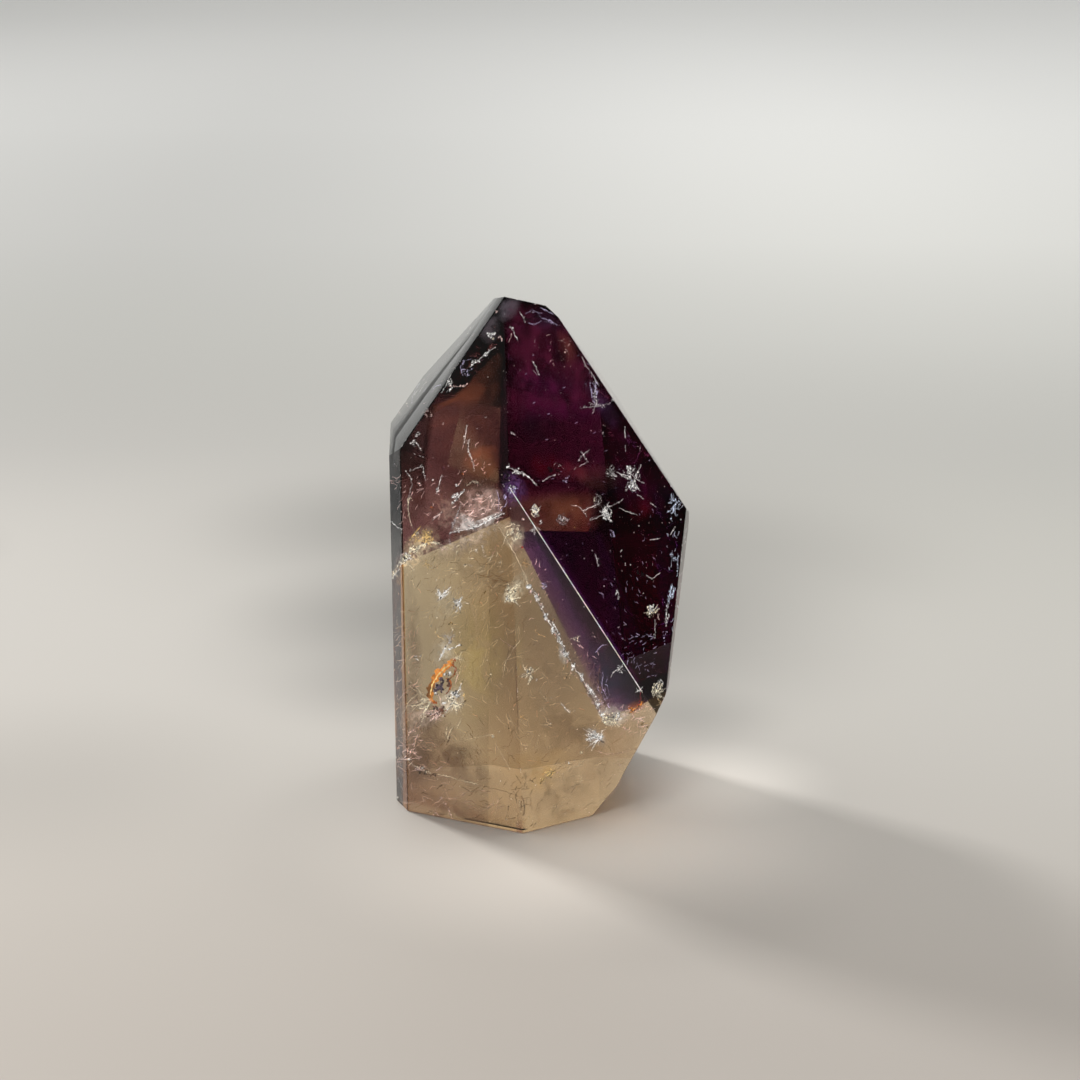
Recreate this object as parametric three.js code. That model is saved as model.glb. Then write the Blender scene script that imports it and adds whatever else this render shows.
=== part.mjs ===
// A polished quartz point that stands on its sawn foot: one clear crystal, ground to flat facets.
// Millimetres, +Z up. The origin is on the foot, under the middle of the crystal. The broad face with the
// brightest edge looks towards -Y, and +X is to the right of it.

import * as THREE from "three";
import { ConvexGeometry } from "three/addons/geometries/ConvexGeometry.js";

// Every facet is a flat cut, set as a gem cutter sets it. azimuth is the compass bearing that the facet
// faces, in degrees: 0 looks towards -Y and 90 towards +X. tilt is how far it looks up from level, in
// degrees, and a negative tilt is an overhang. distance is from the middle of the foot, in millimetres.
const facets = [
  // The foot and the sides, once round from the front.
  { name: "foot", azimuth: 0, tilt: -90, distance: 0 },
  { name: "front left side", azimuth: -28.5, tilt: 1, distance: 20.09 },
  { name: "front right side", azimuth: 35.5, tilt: 3, distance: 16.04 },
  { name: "foot chamfer", azimuth: 80, tilt: -41.5, distance: 7.28 },
  { name: "front right undercut", azimuth: 86, tilt: -30.5, distance: 8.31 },
  { name: "right side", azimuth: 78.5, tilt: -1, distance: 18.3 },
  { name: "back right undercut", azimuth: 101, tilt: -17, distance: 12.62 },
  { name: "back right side", azimuth: 159, tilt: -1, distance: 19.21 },
  { name: "back left side", azimuth: -156, tilt: -1, distance: 18.77 },
  { name: "rear left side", azimuth: -88, tilt: -0.5, distance: 21.1 },
  { name: "left side", azimuth: -68.5, tilt: 0, distance: 22.33 },

  // The sloping faces of the tip, the same way round.
  { name: "front left tip", azimuth: -25, tilt: 18, distance: 33.83 },
  { name: "front right tip", azimuth: 53, tilt: 14, distance: 20.08 },
  { name: "right tip", azimuth: 93.5, tilt: 32.5, distance: 39.4 },
  { name: "back right tip", azimuth: 118, tilt: 50, distance: 54.12 },
  { name: "back tip", azimuth: -172, tilt: 46.5, distance: 50.8 },
  { name: "back left tip", azimuth: -116, tilt: 32, distance: 47.68 },
  { name: "left tip", azimuth: -85.5, tilt: 34.5, distance: 46.74 },
  { name: "crown", azimuth: 150, tilt: 74, distance: 68.03 },
];

const cornerWeld = 0.05; // corners closer than this are one corner, where four facets meet
const insideTolerance = 1e-6;
const parallelLimit = 1e-6;

const clearQuartz = new THREE.MeshStandardMaterial({ color: 0x6f5a48, roughness: 0.05, metalness: 0 });

function facetPlane({ azimuth, tilt, distance }) {
  const bearing = THREE.MathUtils.degToRad(azimuth);
  const rise = THREE.MathUtils.degToRad(tilt);
  const level = Math.cos(rise);
  const normal = new THREE.Vector3(Math.sin(bearing) * level, -Math.cos(bearing) * level, Math.sin(rise));
  return new THREE.Plane(normal, -distance);
}

// The point where three facets meet, or null where two of them run side by side.
function meetingPoint(a, b, c) {
  const bc = b.normal.clone().cross(c.normal);
  const spread = a.normal.dot(bc);
  if (Math.abs(spread) < parallelLimit) {
    return null;
  }
  const ca = c.normal.clone().cross(a.normal);
  const ab = a.normal.clone().cross(b.normal);
  const point = bc.multiplyScalar(-a.constant);
  point.addScaledVector(ca, -b.constant);
  point.addScaledVector(ab, -c.constant);
  return point.divideScalar(spread);
}

// The corners of the solid that all the facets enclose.
function crystalCorners(planes) {
  const corners = [];
  for (let i = 0; i < planes.length; i += 1) {
    for (let j = i + 1; j < planes.length; j += 1) {
      for (let k = j + 1; k < planes.length; k += 1) {
        const point = meetingPoint(planes[i], planes[j], planes[k]);
        const enclosed = point && planes.every((plane) => plane.distanceToPoint(point) < insideTolerance);
        if (enclosed && corners.every((corner) => corner.distanceTo(point) > cornerWeld)) {
          corners.push(point);
        }
      }
    }
  }
  return corners;
}

// The closed crystal, with the middle of its foot moved exactly under the middle of its width and depth.
function crystalGeometry() {
  const corners = crystalCorners(facets.map(facetPlane));
  const geometry = new ConvexGeometry(corners);
  geometry.computeBoundingBox();
  const middle = geometry.boundingBox.getCenter(new THREE.Vector3());
  geometry.translate(-middle.x, -middle.y, -geometry.boundingBox.min.z);
  return geometry;
}

const crystal = new THREE.Mesh(crystalGeometry(), clearQuartz);
crystal.name = "crystal_point";

const quartzPoint = new THREE.Group();
quartzPoint.name = "quartz_point";
quartzPoint.add(crystal);

export default quartzPoint;
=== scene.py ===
"""A polished quartz point: a clear yellowish body with amethyst, smoky brown and rusty zones grown inside it.

Lengths are in metres and +Z is up. A mark on the front is given as a place in the camera's frame, in pixels
from its top left corner. The place is carried along the line of sight to the facet that is seen there, and
then into the stone.
"""
import math
import random
from functools import partial, reduce

import bmesh
import bpy
from mathutils import Matrix, Vector
from mathutils.bvhtree import BVHTree


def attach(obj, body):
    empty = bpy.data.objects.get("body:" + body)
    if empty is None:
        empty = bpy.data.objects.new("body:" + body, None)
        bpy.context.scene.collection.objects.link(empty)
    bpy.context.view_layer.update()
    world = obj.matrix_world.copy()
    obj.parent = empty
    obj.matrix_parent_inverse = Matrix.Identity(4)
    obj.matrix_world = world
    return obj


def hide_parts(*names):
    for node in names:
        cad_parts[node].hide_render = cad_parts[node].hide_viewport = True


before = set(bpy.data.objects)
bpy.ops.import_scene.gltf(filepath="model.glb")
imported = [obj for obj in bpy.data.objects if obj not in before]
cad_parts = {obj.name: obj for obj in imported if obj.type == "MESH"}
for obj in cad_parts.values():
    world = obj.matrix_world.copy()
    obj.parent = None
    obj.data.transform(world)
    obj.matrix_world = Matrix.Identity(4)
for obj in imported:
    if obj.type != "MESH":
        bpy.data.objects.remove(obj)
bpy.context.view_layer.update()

MM = 0.001
QUARTZ_IOR = 1.544

# --- the camera ---------------------------------------------------------------------------------------
FRAME_SIDE = 1080
FRAME_CENTRE = FRAME_SIDE / 2
CAMERA_TARGET = Vector((-0.12, -14.11, 40.5)) * MM
CAMERA_DISTANCE = 400 * MM
CAMERA_ELEVATION = math.radians(15)
CAMERA_LENS = 96.0
CAMERA_SENSOR = 36.0
PIXEL_ANGLE = CAMERA_SENSOR / CAMERA_LENS / FRAME_SIDE
PIXEL = PIXEL_ANGLE * CAMERA_DISTANCE
SIGHT_RIGHT = Vector((1, 0, 0))
SIGHT_UP = Vector((0, math.sin(CAMERA_ELEVATION), math.cos(CAMERA_ELEVATION)))
SIGHT_AHEAD = Vector((0, math.cos(CAMERA_ELEVATION), -math.sin(CAMERA_ELEVATION)))


def make_camera():
    """The camera: a long lens, level with the middle of the stone and looking a little down on it."""
    data = bpy.data.cameras.new("camera")
    data.lens = CAMERA_LENS
    data.sensor_width = CAMERA_SENSOR
    data.clip_start = 0.01
    data.clip_end = 50
    camera = bpy.data.objects.new("camera", data)
    camera.location = CAMERA_TARGET - SIGHT_AHEAD * CAMERA_DISTANCE
    camera.rotation_euler = (math.pi / 2 - CAMERA_ELEVATION, 0, 0)
    bpy.context.scene.collection.objects.link(camera)
    bpy.context.scene.camera = camera
    return camera.location.copy()


EYE = make_camera()


def sight_line(x, y):
    """The direction from the eye through a place in the frame."""
    across = (x - FRAME_CENTRE) * PIXEL_ANGLE
    up = (FRAME_CENTRE - y) * PIXEL_ANGLE
    return (SIGHT_AHEAD + SIGHT_RIGHT * across + SIGHT_UP * up).normalized()


# --- the stone's own shape ----------------------------------------------------------------------------
WELD = 0.001 * MM
FLAT_ANGLE = math.radians(0.4)
LEAST_COVER = 0.005 * MM
PUSHES = 2
FRONT_FACING = -0.3


def stone_bmesh():
    """A copy of the stone's solid with its triangles joined into whole facets."""
    stone = bmesh.new()
    stone.from_mesh(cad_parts["crystal_point"].data)
    bmesh.ops.remove_doubles(stone, verts=stone.verts, dist=WELD)
    bmesh.ops.dissolve_limit(stone, angle_limit=FLAT_ANGLE, verts=stone.verts, edges=stone.edges)
    return stone


STONE = stone_bmesh()
STONE_SURFACE = BVHTree.FromBMesh(STONE)
STONE_FACETS = [(facet.normal.copy(), facet.normal.dot(facet.verts[0].co)) for facet in STONE.faces]


def keep_inside(corners):
    """Pushes the corners that would stand out of the stone back to just under its polish."""
    for corner in corners:
        for normal, reach in PUSHES * STONE_FACETS:
            out = normal.dot(corner.co) - reach + LEAST_COVER
            if out > 0:
                corner.co = corner.co - normal * out


def bent(direction, normal):
    """The direction that a ray takes on entering the quartz through a facet with that outward normal."""
    cosine = -direction.dot(normal)
    ratio = 1 / QUARTZ_IOR
    inner = math.sqrt(1 - ratio * ratio * (1 - cosine * cosine))
    return (direction * ratio + normal * (ratio * cosine - inner)).normalized()


def enter(x, y, turn=0):
    """Where the sight line through a place in the frame meets the stone, its way on inside, and the facet's
    normal. turn walks the eye round the stone, in degrees to the right, for marks on the other sides."""
    walk = Matrix.Rotation(math.radians(turn), 3, "Z")
    sight = walk @ sight_line(x, y)
    place, normal, _, _ = STONE_SURFACE.ray_cast(walk @ EYE, sight)
    if place is None:
        return None
    return place, bent(sight, normal), normal


def under(x, y, depth, turn=0):
    """The place that deep under the polish on the sight line, and the facet's normal, or None beside the
    stone. With a turned eye it is None on the front facets too, whose marks are placed one by one."""
    entry = enter(x, y, turn)
    if entry is None:
        return None
    place, ray, normal = entry
    if turn and normal.y < FRONT_FACING:
        return None
    return place + ray * (depth / -ray.dot(normal)), normal


def facet_at(x, y):
    """The stone's facet that is seen at a place in the frame."""
    _, _, normal = enter(x, y)
    return max(STONE.faces, key=lambda facet: facet.normal.dot(normal))


# --- nodes --------------------------------------------------------------------------------------------
def fill(tree, node, inputs):
    """Sets a node's inputs, given as {name or number: a value, or the output that it is linked to}."""
    for label, value in inputs.items():
        if isinstance(value, bpy.types.NodeSocket):
            tree.links.new(value, node.inputs[label])
        else:
            node.inputs[label].default_value = value


def add_node(tree, kind, inputs=None, **settings):
    """A new node with those settings and inputs."""
    node = tree.nodes.new(kind)
    for label, value in settings.items():
        setattr(node, label, value)
    fill(tree, node, inputs or {})
    return node


def add_sockets(group, way, kinds):
    """The named inputs or outputs of a node group, given as {name: socket type}."""
    for label, kind in kinds.items():
        group.interface.new_socket(label, in_out=way, socket_type=kind)


def map_range(tree, value, start, end, low=0.0, high=1.0, course="SMOOTHSTEP"):
    """A value taken from one range to another."""
    inputs = {"Value": value, "From Min": start, "From Max": end, "To Min": low, "To Max": high}
    return add_node(tree, "ShaderNodeMapRange", inputs, interpolation_type=course).outputs["Result"]


def times(tree, first, second):
    """The product of two values."""
    return add_node(tree, "ShaderNodeMath", {0: first, 1: second}, operation="MULTIPLY").outputs["Value"]


def mixed(tree, factor, first, second, blend="MIX"):
    """A colour made from two others."""
    inputs = {"Factor": factor, "A": first, "B": second}
    return add_node(tree, "ShaderNodeMix", inputs, data_type="RGBA", blend_type=blend).outputs["Result"]


MOTTLE_INPUTS = ("Scale", "Detail", "Twist", "Low", "High")
MOTTLE_TROUGH = 0.36
MOTTLE_CREST = 0.64


def mottle_group():
    """Soft uneven growth: a value between Low and High that changes through the stone."""
    group = bpy.data.node_groups.new("growth_mottle", "ShaderNodeTree")
    add_sockets(group, "INPUT", dict.fromkeys(MOTTLE_INPUTS, "NodeSocketFloat"))
    add_sockets(group, "OUTPUT", {"Value": "NodeSocketFloat"})
    given = add_node(group, "NodeGroupInput").outputs
    place = add_node(group, "ShaderNodeTexCoord")
    noise = add_node(group, "ShaderNodeTexNoise", {
        "Vector": place.outputs["Object"],
        "Scale": given["Scale"],
        "Detail": given["Detail"],
        "Distortion": given["Twist"],
    })
    growth = noise.outputs["Fac"]
    value = map_range(group, growth, MOTTLE_TROUGH, MOTTLE_CREST, given["Low"], given["High"])
    add_node(group, "NodeGroupOutput", {"Value": value})
    return group


MOTTLE = mottle_group()


def add_mottle(tree, scale, low, high, detail=4.0, twist=0.6):
    """The growth mottle placed in a material with its own values."""
    inputs = dict(zip(MOTTLE_INPUTS, (scale, detail, twist, low, high)))
    return add_node(tree, "ShaderNodeGroup", inputs, node_tree=MOTTLE).outputs["Value"]


# --- materials ----------------------------------------------------------------------------------------
def new_material(name):
    """A material with nodes, its tree and its Principled shader, with nothing set."""
    material = bpy.data.materials.new(name)
    material.use_nodes = True
    return material, material.node_tree, material.node_tree.nodes["Principled BSDF"]


def clear_material(name, ior, colour, density):
    """Clear stone: white at its walls, with plain absorption through its depth. density is per metre."""
    material, tree, shader = new_material(name)
    fill(tree, shader, {
        "Base Color": (1, 1, 1, 1),
        "Roughness": 0.0,
        "IOR": ior,
        "Transmission Weight": 1.0,
    })
    absorb = add_node(tree, "ShaderNodeVolumeAbsorption", {"Color": (*colour, 1), "Density": density})
    fill(tree, tree.nodes["Material Output"], {"Volume": absorb.outputs["Volume"]})
    return material


def clear_quartz():
    """Polished clear quartz with a faint smoky yellow tone through its depth."""
    return clear_material("clear_quartz", ior=QUARTZ_IOR, colour=(0.80, 0.55, 0.10), density=32)


def zone_material(name, colour, density):
    """A colour zone of the quartz: the same stone, so its walls bend no light, in a tint of its own."""
    return clear_material(name, ior=1.0, colour=colour, density=density)


def tinted_material(name, mottle_scale, mottle_low, glow, roughness):
    """A finish in the tint that each mark carries, made uneven. Its glow is painted light, for what it
    scatters.
    """
    material, tree, shader = new_material(name)
    tint = add_node(tree, "ShaderNodeAttribute", attribute_name="tint")
    mottle = add_mottle(tree, mottle_scale, mottle_low, 1.0)
    shade = mixed(tree, 1.0, tint.outputs["Color"], mottle, "MULTIPLY")
    fill(tree, shader, {
        "Base Color": shade,
        "Emission Color": shade,
        "Emission Strength": glow,
        "Roughness": roughness,
    })
    return material, tree, shader


def flake_material():
    """Pearly flakes: thin films of air and clay in healed cracks, made to sparkle by painted light."""
    material, tree, shader = tinted_material(
        "pearly_flake", mottle_scale=2600, mottle_low=0.55, glow=1.15, roughness=0.35)
    fill(tree, shader, {"Metallic": 0.2})
    return material


def cloud_material(name, scale, least, glow, detail=5.0, twist=1.2):
    """A cloud in the stone: denser in the middle, with soft streaky holes, and a glow of painted light."""
    material, tree, shader = tinted_material(
        name, mottle_scale=scale * 0.6, mottle_low=0.5, glow=glow, roughness=0.8)
    fade = add_node(tree, "ShaderNodeAttribute", attribute_name="fade")
    holes = add_mottle(tree, scale, least, 1.0, detail, twist)
    fill(tree, shader, {"Alpha": times(tree, fade.outputs["Fac"], holes)})
    return material


def edge_glint_material():
    """Painted edge glint: a white finish that glows, for the light that the broad edge and the chips on the
    edges catch.
    """
    material, _, _ = tinted_material(
        "edge_glint_finish", mottle_scale=3000, mottle_low=0.7, glow=0.7, roughness=0.6)
    return material


def speck_material():
    """Pale grains, some creamier than others, with a faint glow: painted light for what they scatter."""
    material, tree, shader = new_material("pale_speck")
    creamy = (0.45, 0.36, 0.30, 1)
    pale = (0.95, 0.92, 0.86, 1)
    tone = mixed(tree, add_mottle(tree, scale=700, low=0.0, high=1.0), creamy, pale)
    fill(tree, shader, {
        "Base Color": tone,
        "Emission Color": tone,
        "Emission Strength": 0.7,
        "Roughness": 0.4,
    })
    return material


# --- making pieces ------------------------------------------------------------------------------------
def add_piece(name, mesh, material):
    """A finished piece of the stone: at the origin, on the one body, and with its finish as its one material.
    """
    piece = bpy.data.objects.new(name, mesh)
    bpy.context.scene.collection.objects.link(piece)
    piece.data.materials.clear()
    piece.data.materials.append(material)
    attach(piece, "root")
    return piece


def finished(shape, name):
    """The mesh of a shape whose making is over."""
    mesh = bpy.data.meshes.new(name)
    shape.to_mesh(mesh)
    shape.free()
    return mesh


# --- the polished stone -------------------------------------------------------------------------------
EDGE_EASE = 0.09 * MM
FOOT_RIM_HEIGHT = 1 * MM


def make_body():
    """The polished stone itself, with its facets' edges eased all round but at the foot."""
    stone = STONE.copy()
    edges = [edge for edge in stone.edges if max(corner.co.z for corner in edge.verts) > FOOT_RIM_HEIGHT]
    bmesh.ops.bevel(
        stone, geom=edges, offset=EDGE_EASE, segments=2, profile=0.5, affect="EDGES", clamp_overlap=True)
    body = add_piece("quartz_body", finished(stone, "quartz_body"), clear_quartz())
    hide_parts("crystal_point")


make_body()

# --- colour zones -------------------------------------------------------------------------------------
BLOCK_SIDE = 300 * MM
CUT_TOLERANCE = 0.0001 * MM
WALL_GAP = 0.02 * MM


def cut_from_stone(name, inset, walls):
    """The part of the stone that lies that much under its facets and behind every wall, as a closed mesh."""
    block = bmesh.new()
    bmesh.ops.create_cube(block, size=BLOCK_SIDE)
    sides = [(facet.calc_center_median() - facet.normal * inset, facet.normal) for facet in STONE.faces]
    for point, normal in sides + walls:
        whole = list(block.verts) + list(block.edges) + list(block.faces)
        cut = bmesh.ops.bisect_plane(
            block, geom=whole, dist=CUT_TOLERANCE, plane_co=point, plane_no=normal, clear_outer=True)
        rim = [edge for edge in cut["geom_cut"] if isinstance(edge, bmesh.types.BMEdge)]
        if rim:
            bmesh.ops.contextual_create(block, geom=rim)
    bmesh.ops.recalc_face_normals(block, faces=block.faces)
    return finished(block, name)


def wall_through(first, second, keep, lean=0):
    """A wall seen edge on: it holds two places on the stone's front and the line of sight inside, and keeps
    the side that a third place is on. lean tips it about its front edge, in degrees, so that its colour
    fades in."""
    start, ray, _ = enter(*first)
    end, other_ray, _ = enter(*second)
    tip = Matrix.Rotation(math.radians(lean), 3, (end - start).normalized())
    normal = (end - start).cross(tip @ (ray + other_ray).normalized()).normalized()
    inner, _, _ = enter(*keep)
    if (inner - start).dot(normal) > 0:
        normal = -normal
    return start, normal


def turned(wall):
    """The same wall, keeping its other side, a hair away."""
    point, normal = wall
    return point - normal * WALL_GAP, -normal


def layer_floor(place, depth):
    """A wall parallel to the facet at a place in the frame, that deep under it, keeping what is above."""
    point, _, normal = enter(*place)
    return point - normal * depth, -normal


# A place in the frame on each of the facets that are seen.
LEFT_TIP = (460, 420)
RIGHT_TIP = (580, 420)
LEFT_FRONT = (440, 650)
RIGHT_FRONT = (560, 660)
LEFT_SIDE = (396, 650)
LEFT_BEVEL = (420, 400)

RIDGE_WALL = wall_through((502, 345), (499, 505), keep=(600, 450))
ARC_WALL = wall_through((408, 562), (505, 519), keep=(450, 450))
WEDGE_WALL = wall_through((530, 560), (605, 712), keep=(640, 600))
SEAM_WALL = wall_through((520, 572), (598, 712), keep=(640, 600))
BROAD_WALL = wall_through((533.5, 520), (650, 697), keep=(640, 600))
EDGE_WALL = wall_through((511.5, 540), (517, 700), keep=(600, 600))
BAND_TOP = wall_through((516, 503), (612, 500), keep=(600, 400), lean=45)
BAND_FOOT = wall_through((525, 531), (618, 533), keep=(640, 600))
BAND_END = wall_through((603, 480), (597, 550), keep=(660, 515), lean=-60)
ZONE_FOOT = wall_through((606, 714), (662, 689), keep=(630, 600))
SKIN_FOOT = wall_through((648, 700), (662, 693), keep=(640, 600))
CORNER_WALL = wall_through((503, 351), (426, 417), keep=(445, 385))
SHADE_WALL = wall_through((427, 420), (423, 480), keep=(412, 460), lean=25)
SMOKE_WALL = wall_through((412, 660), (520, 800), keep=(420, 780), lean=-50)
PURPLE_FLOOR = layer_floor(RIGHT_TIP, 2.3 * MM)
BROWN_FLOOR = layer_floor(LEFT_TIP, 2 * MM)
CORNER_FLOOR = layer_floor(LEFT_TIP, 1.6 * MM)
SHADE_FLOOR = layer_floor(LEFT_TIP, 2.4 * MM)
SMOKE_FLOOR = layer_floor(RIGHT_FRONT, 9 * MM)
SIDE_FLOOR = layer_floor(LEFT_SIDE, 0.2 * MM)
BEVEL_FLOOR = layer_floor(LEFT_BEVEL, 0.2 * MM)

DEEP_INSET = 0.3 * MM
SKIN_INSET = 0.2 * MM
SIDE_INSET = 0.06 * MM

ZONES = (
    # name, how far under the facets it begins, its walls, the colour that it lets through, density, slot
    ("amethyst_upper_depth", DEEP_INSET, [RIDGE_WALL, ARC_WALL],
     (0.42, 0.0, 0.20), 66, "amethyst"),
    ("amethyst_lower_depth", DEEP_INSET, [turned(ARC_WALL), BROAD_WALL, EDGE_WALL, ZONE_FOOT],
     (0.79, 0.0, 0.10), 112, "amethyst"),
    ("mauve_wedge", DEEP_INSET, [turned(ARC_WALL), SEAM_WALL, EDGE_WALL, ZONE_FOOT],
     (0.17, 0.0, 0.75), 20, "amethyst"),
    ("brown_depth", DEEP_INSET, [turned(RIDGE_WALL), ARC_WALL],
     (0.37, 0.0, 0.22), 67, "smoky_brown"),
    ("brown_skin", SKIN_INSET, [turned(RIDGE_WALL), ARC_WALL, BROWN_FLOOR],
     (0.39, 0.0, 0.08), 330, "smoky_brown"),
    ("amethyst_upper_skin", SKIN_INSET, [RIDGE_WALL, BAND_TOP, PURPLE_FLOOR],
     (0.56, 0.0, 0.54), 1500, "amethyst"),
    ("amethyst_lower_skin", SKIN_INSET, [RIDGE_WALL, WEDGE_WALL, BAND_FOOT, SKIN_FOOT, PURPLE_FLOOR],
     (0.46, 0.0, 0.74), 1500, "amethyst"),
    ("amethyst_side_skin", SKIN_INSET, [turned(BAND_TOP), turned(BAND_FOOT), BAND_END, PURPLE_FLOOR],
     (0.40, 0.0, 0.60), 1700, "amethyst"),
    ("rusty_band", SKIN_INSET,
     [RIDGE_WALL, turned(BAND_TOP), turned(BAND_FOOT), turned(BAND_END), PURPLE_FLOOR],
     (0.60, 0.0, 0.3), 110, "smoky_brown"),
    ("dark_corner_skin", SKIN_INSET, [turned(RIDGE_WALL), CORNER_WALL, CORNER_FLOOR],
     (0.5, 0.1, 0.2), 1500, "smoky_brown"),
    ("left_shade_skin", SKIN_INSET, [turned(RIDGE_WALL), ARC_WALL, SHADE_WALL, SHADE_FLOOR],
     (0.3, 0.0, 0.0), 1100, "smoky_brown"),
    ("smoky_root", DEEP_INSET, [SMOKE_WALL],
     (0.38, 0.12, 0.0), 250, "smoky_brown"),
    ("smoky_right_front", DEEP_INSET, [SMOKE_FLOOR],
     (0.36, 0.14, 0.0), 42, "smoky_brown"),
    ("smoky_left_side", SIDE_INSET, [turned(ARC_WALL), SIDE_FLOOR],
     (0.80, 0.55, 0.0), 12000, "smoky_brown"),
    ("brown_left_side", SIDE_INSET, [ARC_WALL, SIDE_FLOOR],
     (0.5, 0.1, 0.0), 45000, "smoky_brown"),
    ("grey_left_bevel", SIDE_INSET, [BEVEL_FLOOR],
     (0.50, 0.44, 0.46), 60000, "amethyst"),
)

for zone, inset, walls, colour, density, slot in ZONES:
    add_piece(zone, cut_from_stone(zone, inset, walls), zone_material(zone, colour, density))

# --- flakes, threads and clouds: how each kind is drawn -----------------------------------------------
WHITE = (0.95, 0.93, 0.90)
CREAM = (0.95, 0.86, 0.66)
PINK = (0.85, 0.62, 0.57)
LILAC = (0.66, 0.60, 0.85)
ICE = (0.72, 0.80, 0.95)
GOLD = (0.88, 0.62, 0.25)
GREY = (0.50, 0.48, 0.50)
ORANGE = (0.75, 0.27, 0.04)
RUST = (0.42, 0.10, 0.01)
RED = (0.35, 0.01, 0.02)
BROWN = (0.12, 0.06, 0.03)
# Painted shadow: near-black plates set beside bright flakes, for their shade.
PAINTED_SHADOW = (0.006, 0.002, 0.004)
DULL_CREAM = (0.46, 0.36, 0.23)
DULL_PINK = (0.50, 0.34, 0.26)
DULL_BROWN = (0.13, 0.075, 0.035)

FLAKE_SHALLOWEST = 0.03 * MM
FLAKE_DEEPEST = 0.13 * MM
FLAKE_THICKNESS = 0.024 * MM
BLADE_DEPTH = 0.05 * MM
BLADE_RISE = 0.02 * MM
THREAD_DEPTH = 0.04 * MM
CLOUD_DEPTH = 0.1 * MM
CLOUD_RIM_THICKNESS = 0.003 * MM
CLOUD_BULGE = 0.024 * MM

# How unevenly the marks are drawn. A pair is a range, and the rest are shares or counts, but for the steps,
# which are in pixels, the sway in radians and the scatter in degrees.
# The SHADED, DULLEST and BLADE light values are painted light: darker or brighter tints for shade and glints.
SHADED_SHARE = 0.2
SHADED_LIGHT = 0.04
DULLEST = 0.18
CHIP_LEAN = 0.12
CHIP_SPREAD = (0.6, 1.5)
CHIP_SLIMNESS = (0.35, 1.0)
CHIP_CORNERS = (4, 5, 5, 6)
CHIP_RAGGEDNESS = (0.55, 1.2)
STRAND_FLAKES = 9
STRAND_START = 0.6
STRAND_STEP = 0.25
STRAND_WANDER = 0.8
BLADE_STEP = 1.6
BLADE_FULLNESS = 0.36
BLADE_UNEVENNESS = (0.45, 1.5)
BLADE_TIP = 0.25
BLADE_LIGHT = (0.45, 1.0)
BLADE_LEAST_LIGHT = 0.2
BLADE_FLICKER = 0.16
THREAD_STEP = 1.1
HAIR_SHARE = 0.45
CRUMB_SHARE = 0.75
CRUMB_SIZE = (0.6, 1.2)
FAN_REACH = (0.3, 1.0)
FAN_GAP = (0.0, 0.35)
FAN_SWAY = 0.5
FAN_WIDTH = (0.4, 1.3)
SCRATCH_SCATTER = 28
SCRATCH_LENGTH = (0.4, 1.4)
SCRATCH_BOW = 0.22
SCRATCH_WIDTH = (0.6, 1.3)
CLOUD_SIDES = 48
CLOUD_RETREAT = 0.98


def new_shape():
    """An empty mesh in the making, whose corners carry a tint and a fade."""
    shape = bmesh.new()
    shape.verts.layers.float_color.new("tint")
    shape.verts.layers.float.new("fade")
    return shape


def add_corner(shape, place, tint, fade=1.0):
    """A corner with its tint, and how much of it a cloud shows there."""
    corner = shape.verts.new(place)
    corner[shape.verts.layers.float_color["tint"]] = (*tint, 1)
    corner[shape.verts.layers.float["fade"]] = fade
    return corner


def lit(tint, light):
    """The tint in that much painted light."""
    return tuple(part * light for part in tint)


def glint(dice, tint):
    """The tint as one flake shows it, in painted light: some painted in shade, most dull, a few painted
    bright.
    """
    if dice.random() < SHADED_SHARE:
        return lit(tint, SHADED_LIGHT)
    return lit(tint, DULLEST + (1 - DULLEST) * dice.random() ** 1.2)


def add_plate(shape, rim, facing, tint):
    """A thin closed plate with that rim, which faces that way."""
    thick = facing * (FLAKE_THICKNESS / 2)
    top = [add_corner(shape, place + thick, tint) for place in rim]
    foot = [add_corner(shape, place - thick, tint) for place in rim]
    shape.faces.new(top)
    shape.faces.new(list(reversed(foot)))
    for i in range(len(rim)):
        shape.faces.new((top[i - 1], foot[i - 1], foot[i], top[i]))


def add_chip(shape, dice, place, normal, size, tint):
    """One ragged chip about that many pixels across, a little askew, with a painted glint or shade."""
    lean = Vector([dice.gauss(0, CHIP_LEAN) for _ in range(3)])
    facing = (normal + lean).normalized()
    side = facing.orthogonal().normalized()
    across = facing.cross(side)
    reach = size * PIXEL / 2 * dice.uniform(*CHIP_SPREAD)
    slim = dice.uniform(*CHIP_SLIMNESS)
    start = dice.uniform(0, math.tau)
    count = dice.choice(CHIP_CORNERS)
    rim = []
    for i in range(count):
        angle = start + math.tau * i / count
        far = reach * dice.uniform(*CHIP_RAGGEDNESS)
        rim.append(place + side * math.cos(angle) * far + across * math.sin(angle) * far * slim)
    add_plate(shape, rim, facing, glint(dice, tint))


def add_flake(shape, dice, x, y, size, tint, turn=0):
    """A chip under the polish at a place in the frame."""
    spot = under(x, y, dice.uniform(FLAKE_SHALLOWEST, FLAKE_DEEPEST), turn)
    if spot is not None:
        add_chip(shape, dice, *spot, size, tint)


def add_cluster(shape, dice, x, y, reach_x, reach_y, count, size, tint, turn=0):
    """A patch of flakes strung along wandering strands, like crumpled foil."""
    for _ in range(max(1, round(count / STRAND_FLAKES))):
        bearing = dice.uniform(0, math.tau)
        at = Vector((math.cos(bearing), math.sin(bearing))) * STRAND_START * dice.random()
        heading = dice.uniform(0, math.tau)
        for _ in range(min(STRAND_FLAKES, count)):
            heading += dice.gauss(0, STRAND_WANDER)
            at += Vector((math.cos(heading), math.sin(heading))) * STRAND_STEP
            if at.length > 1:
                at *= 0.75
                heading += 2
            shrunk = size * (1.3 - 0.5 * at.length)
            add_flake(shape, dice, x + at.x * reach_x, y + at.y * reach_y, shrunk, tint, turn)


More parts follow.
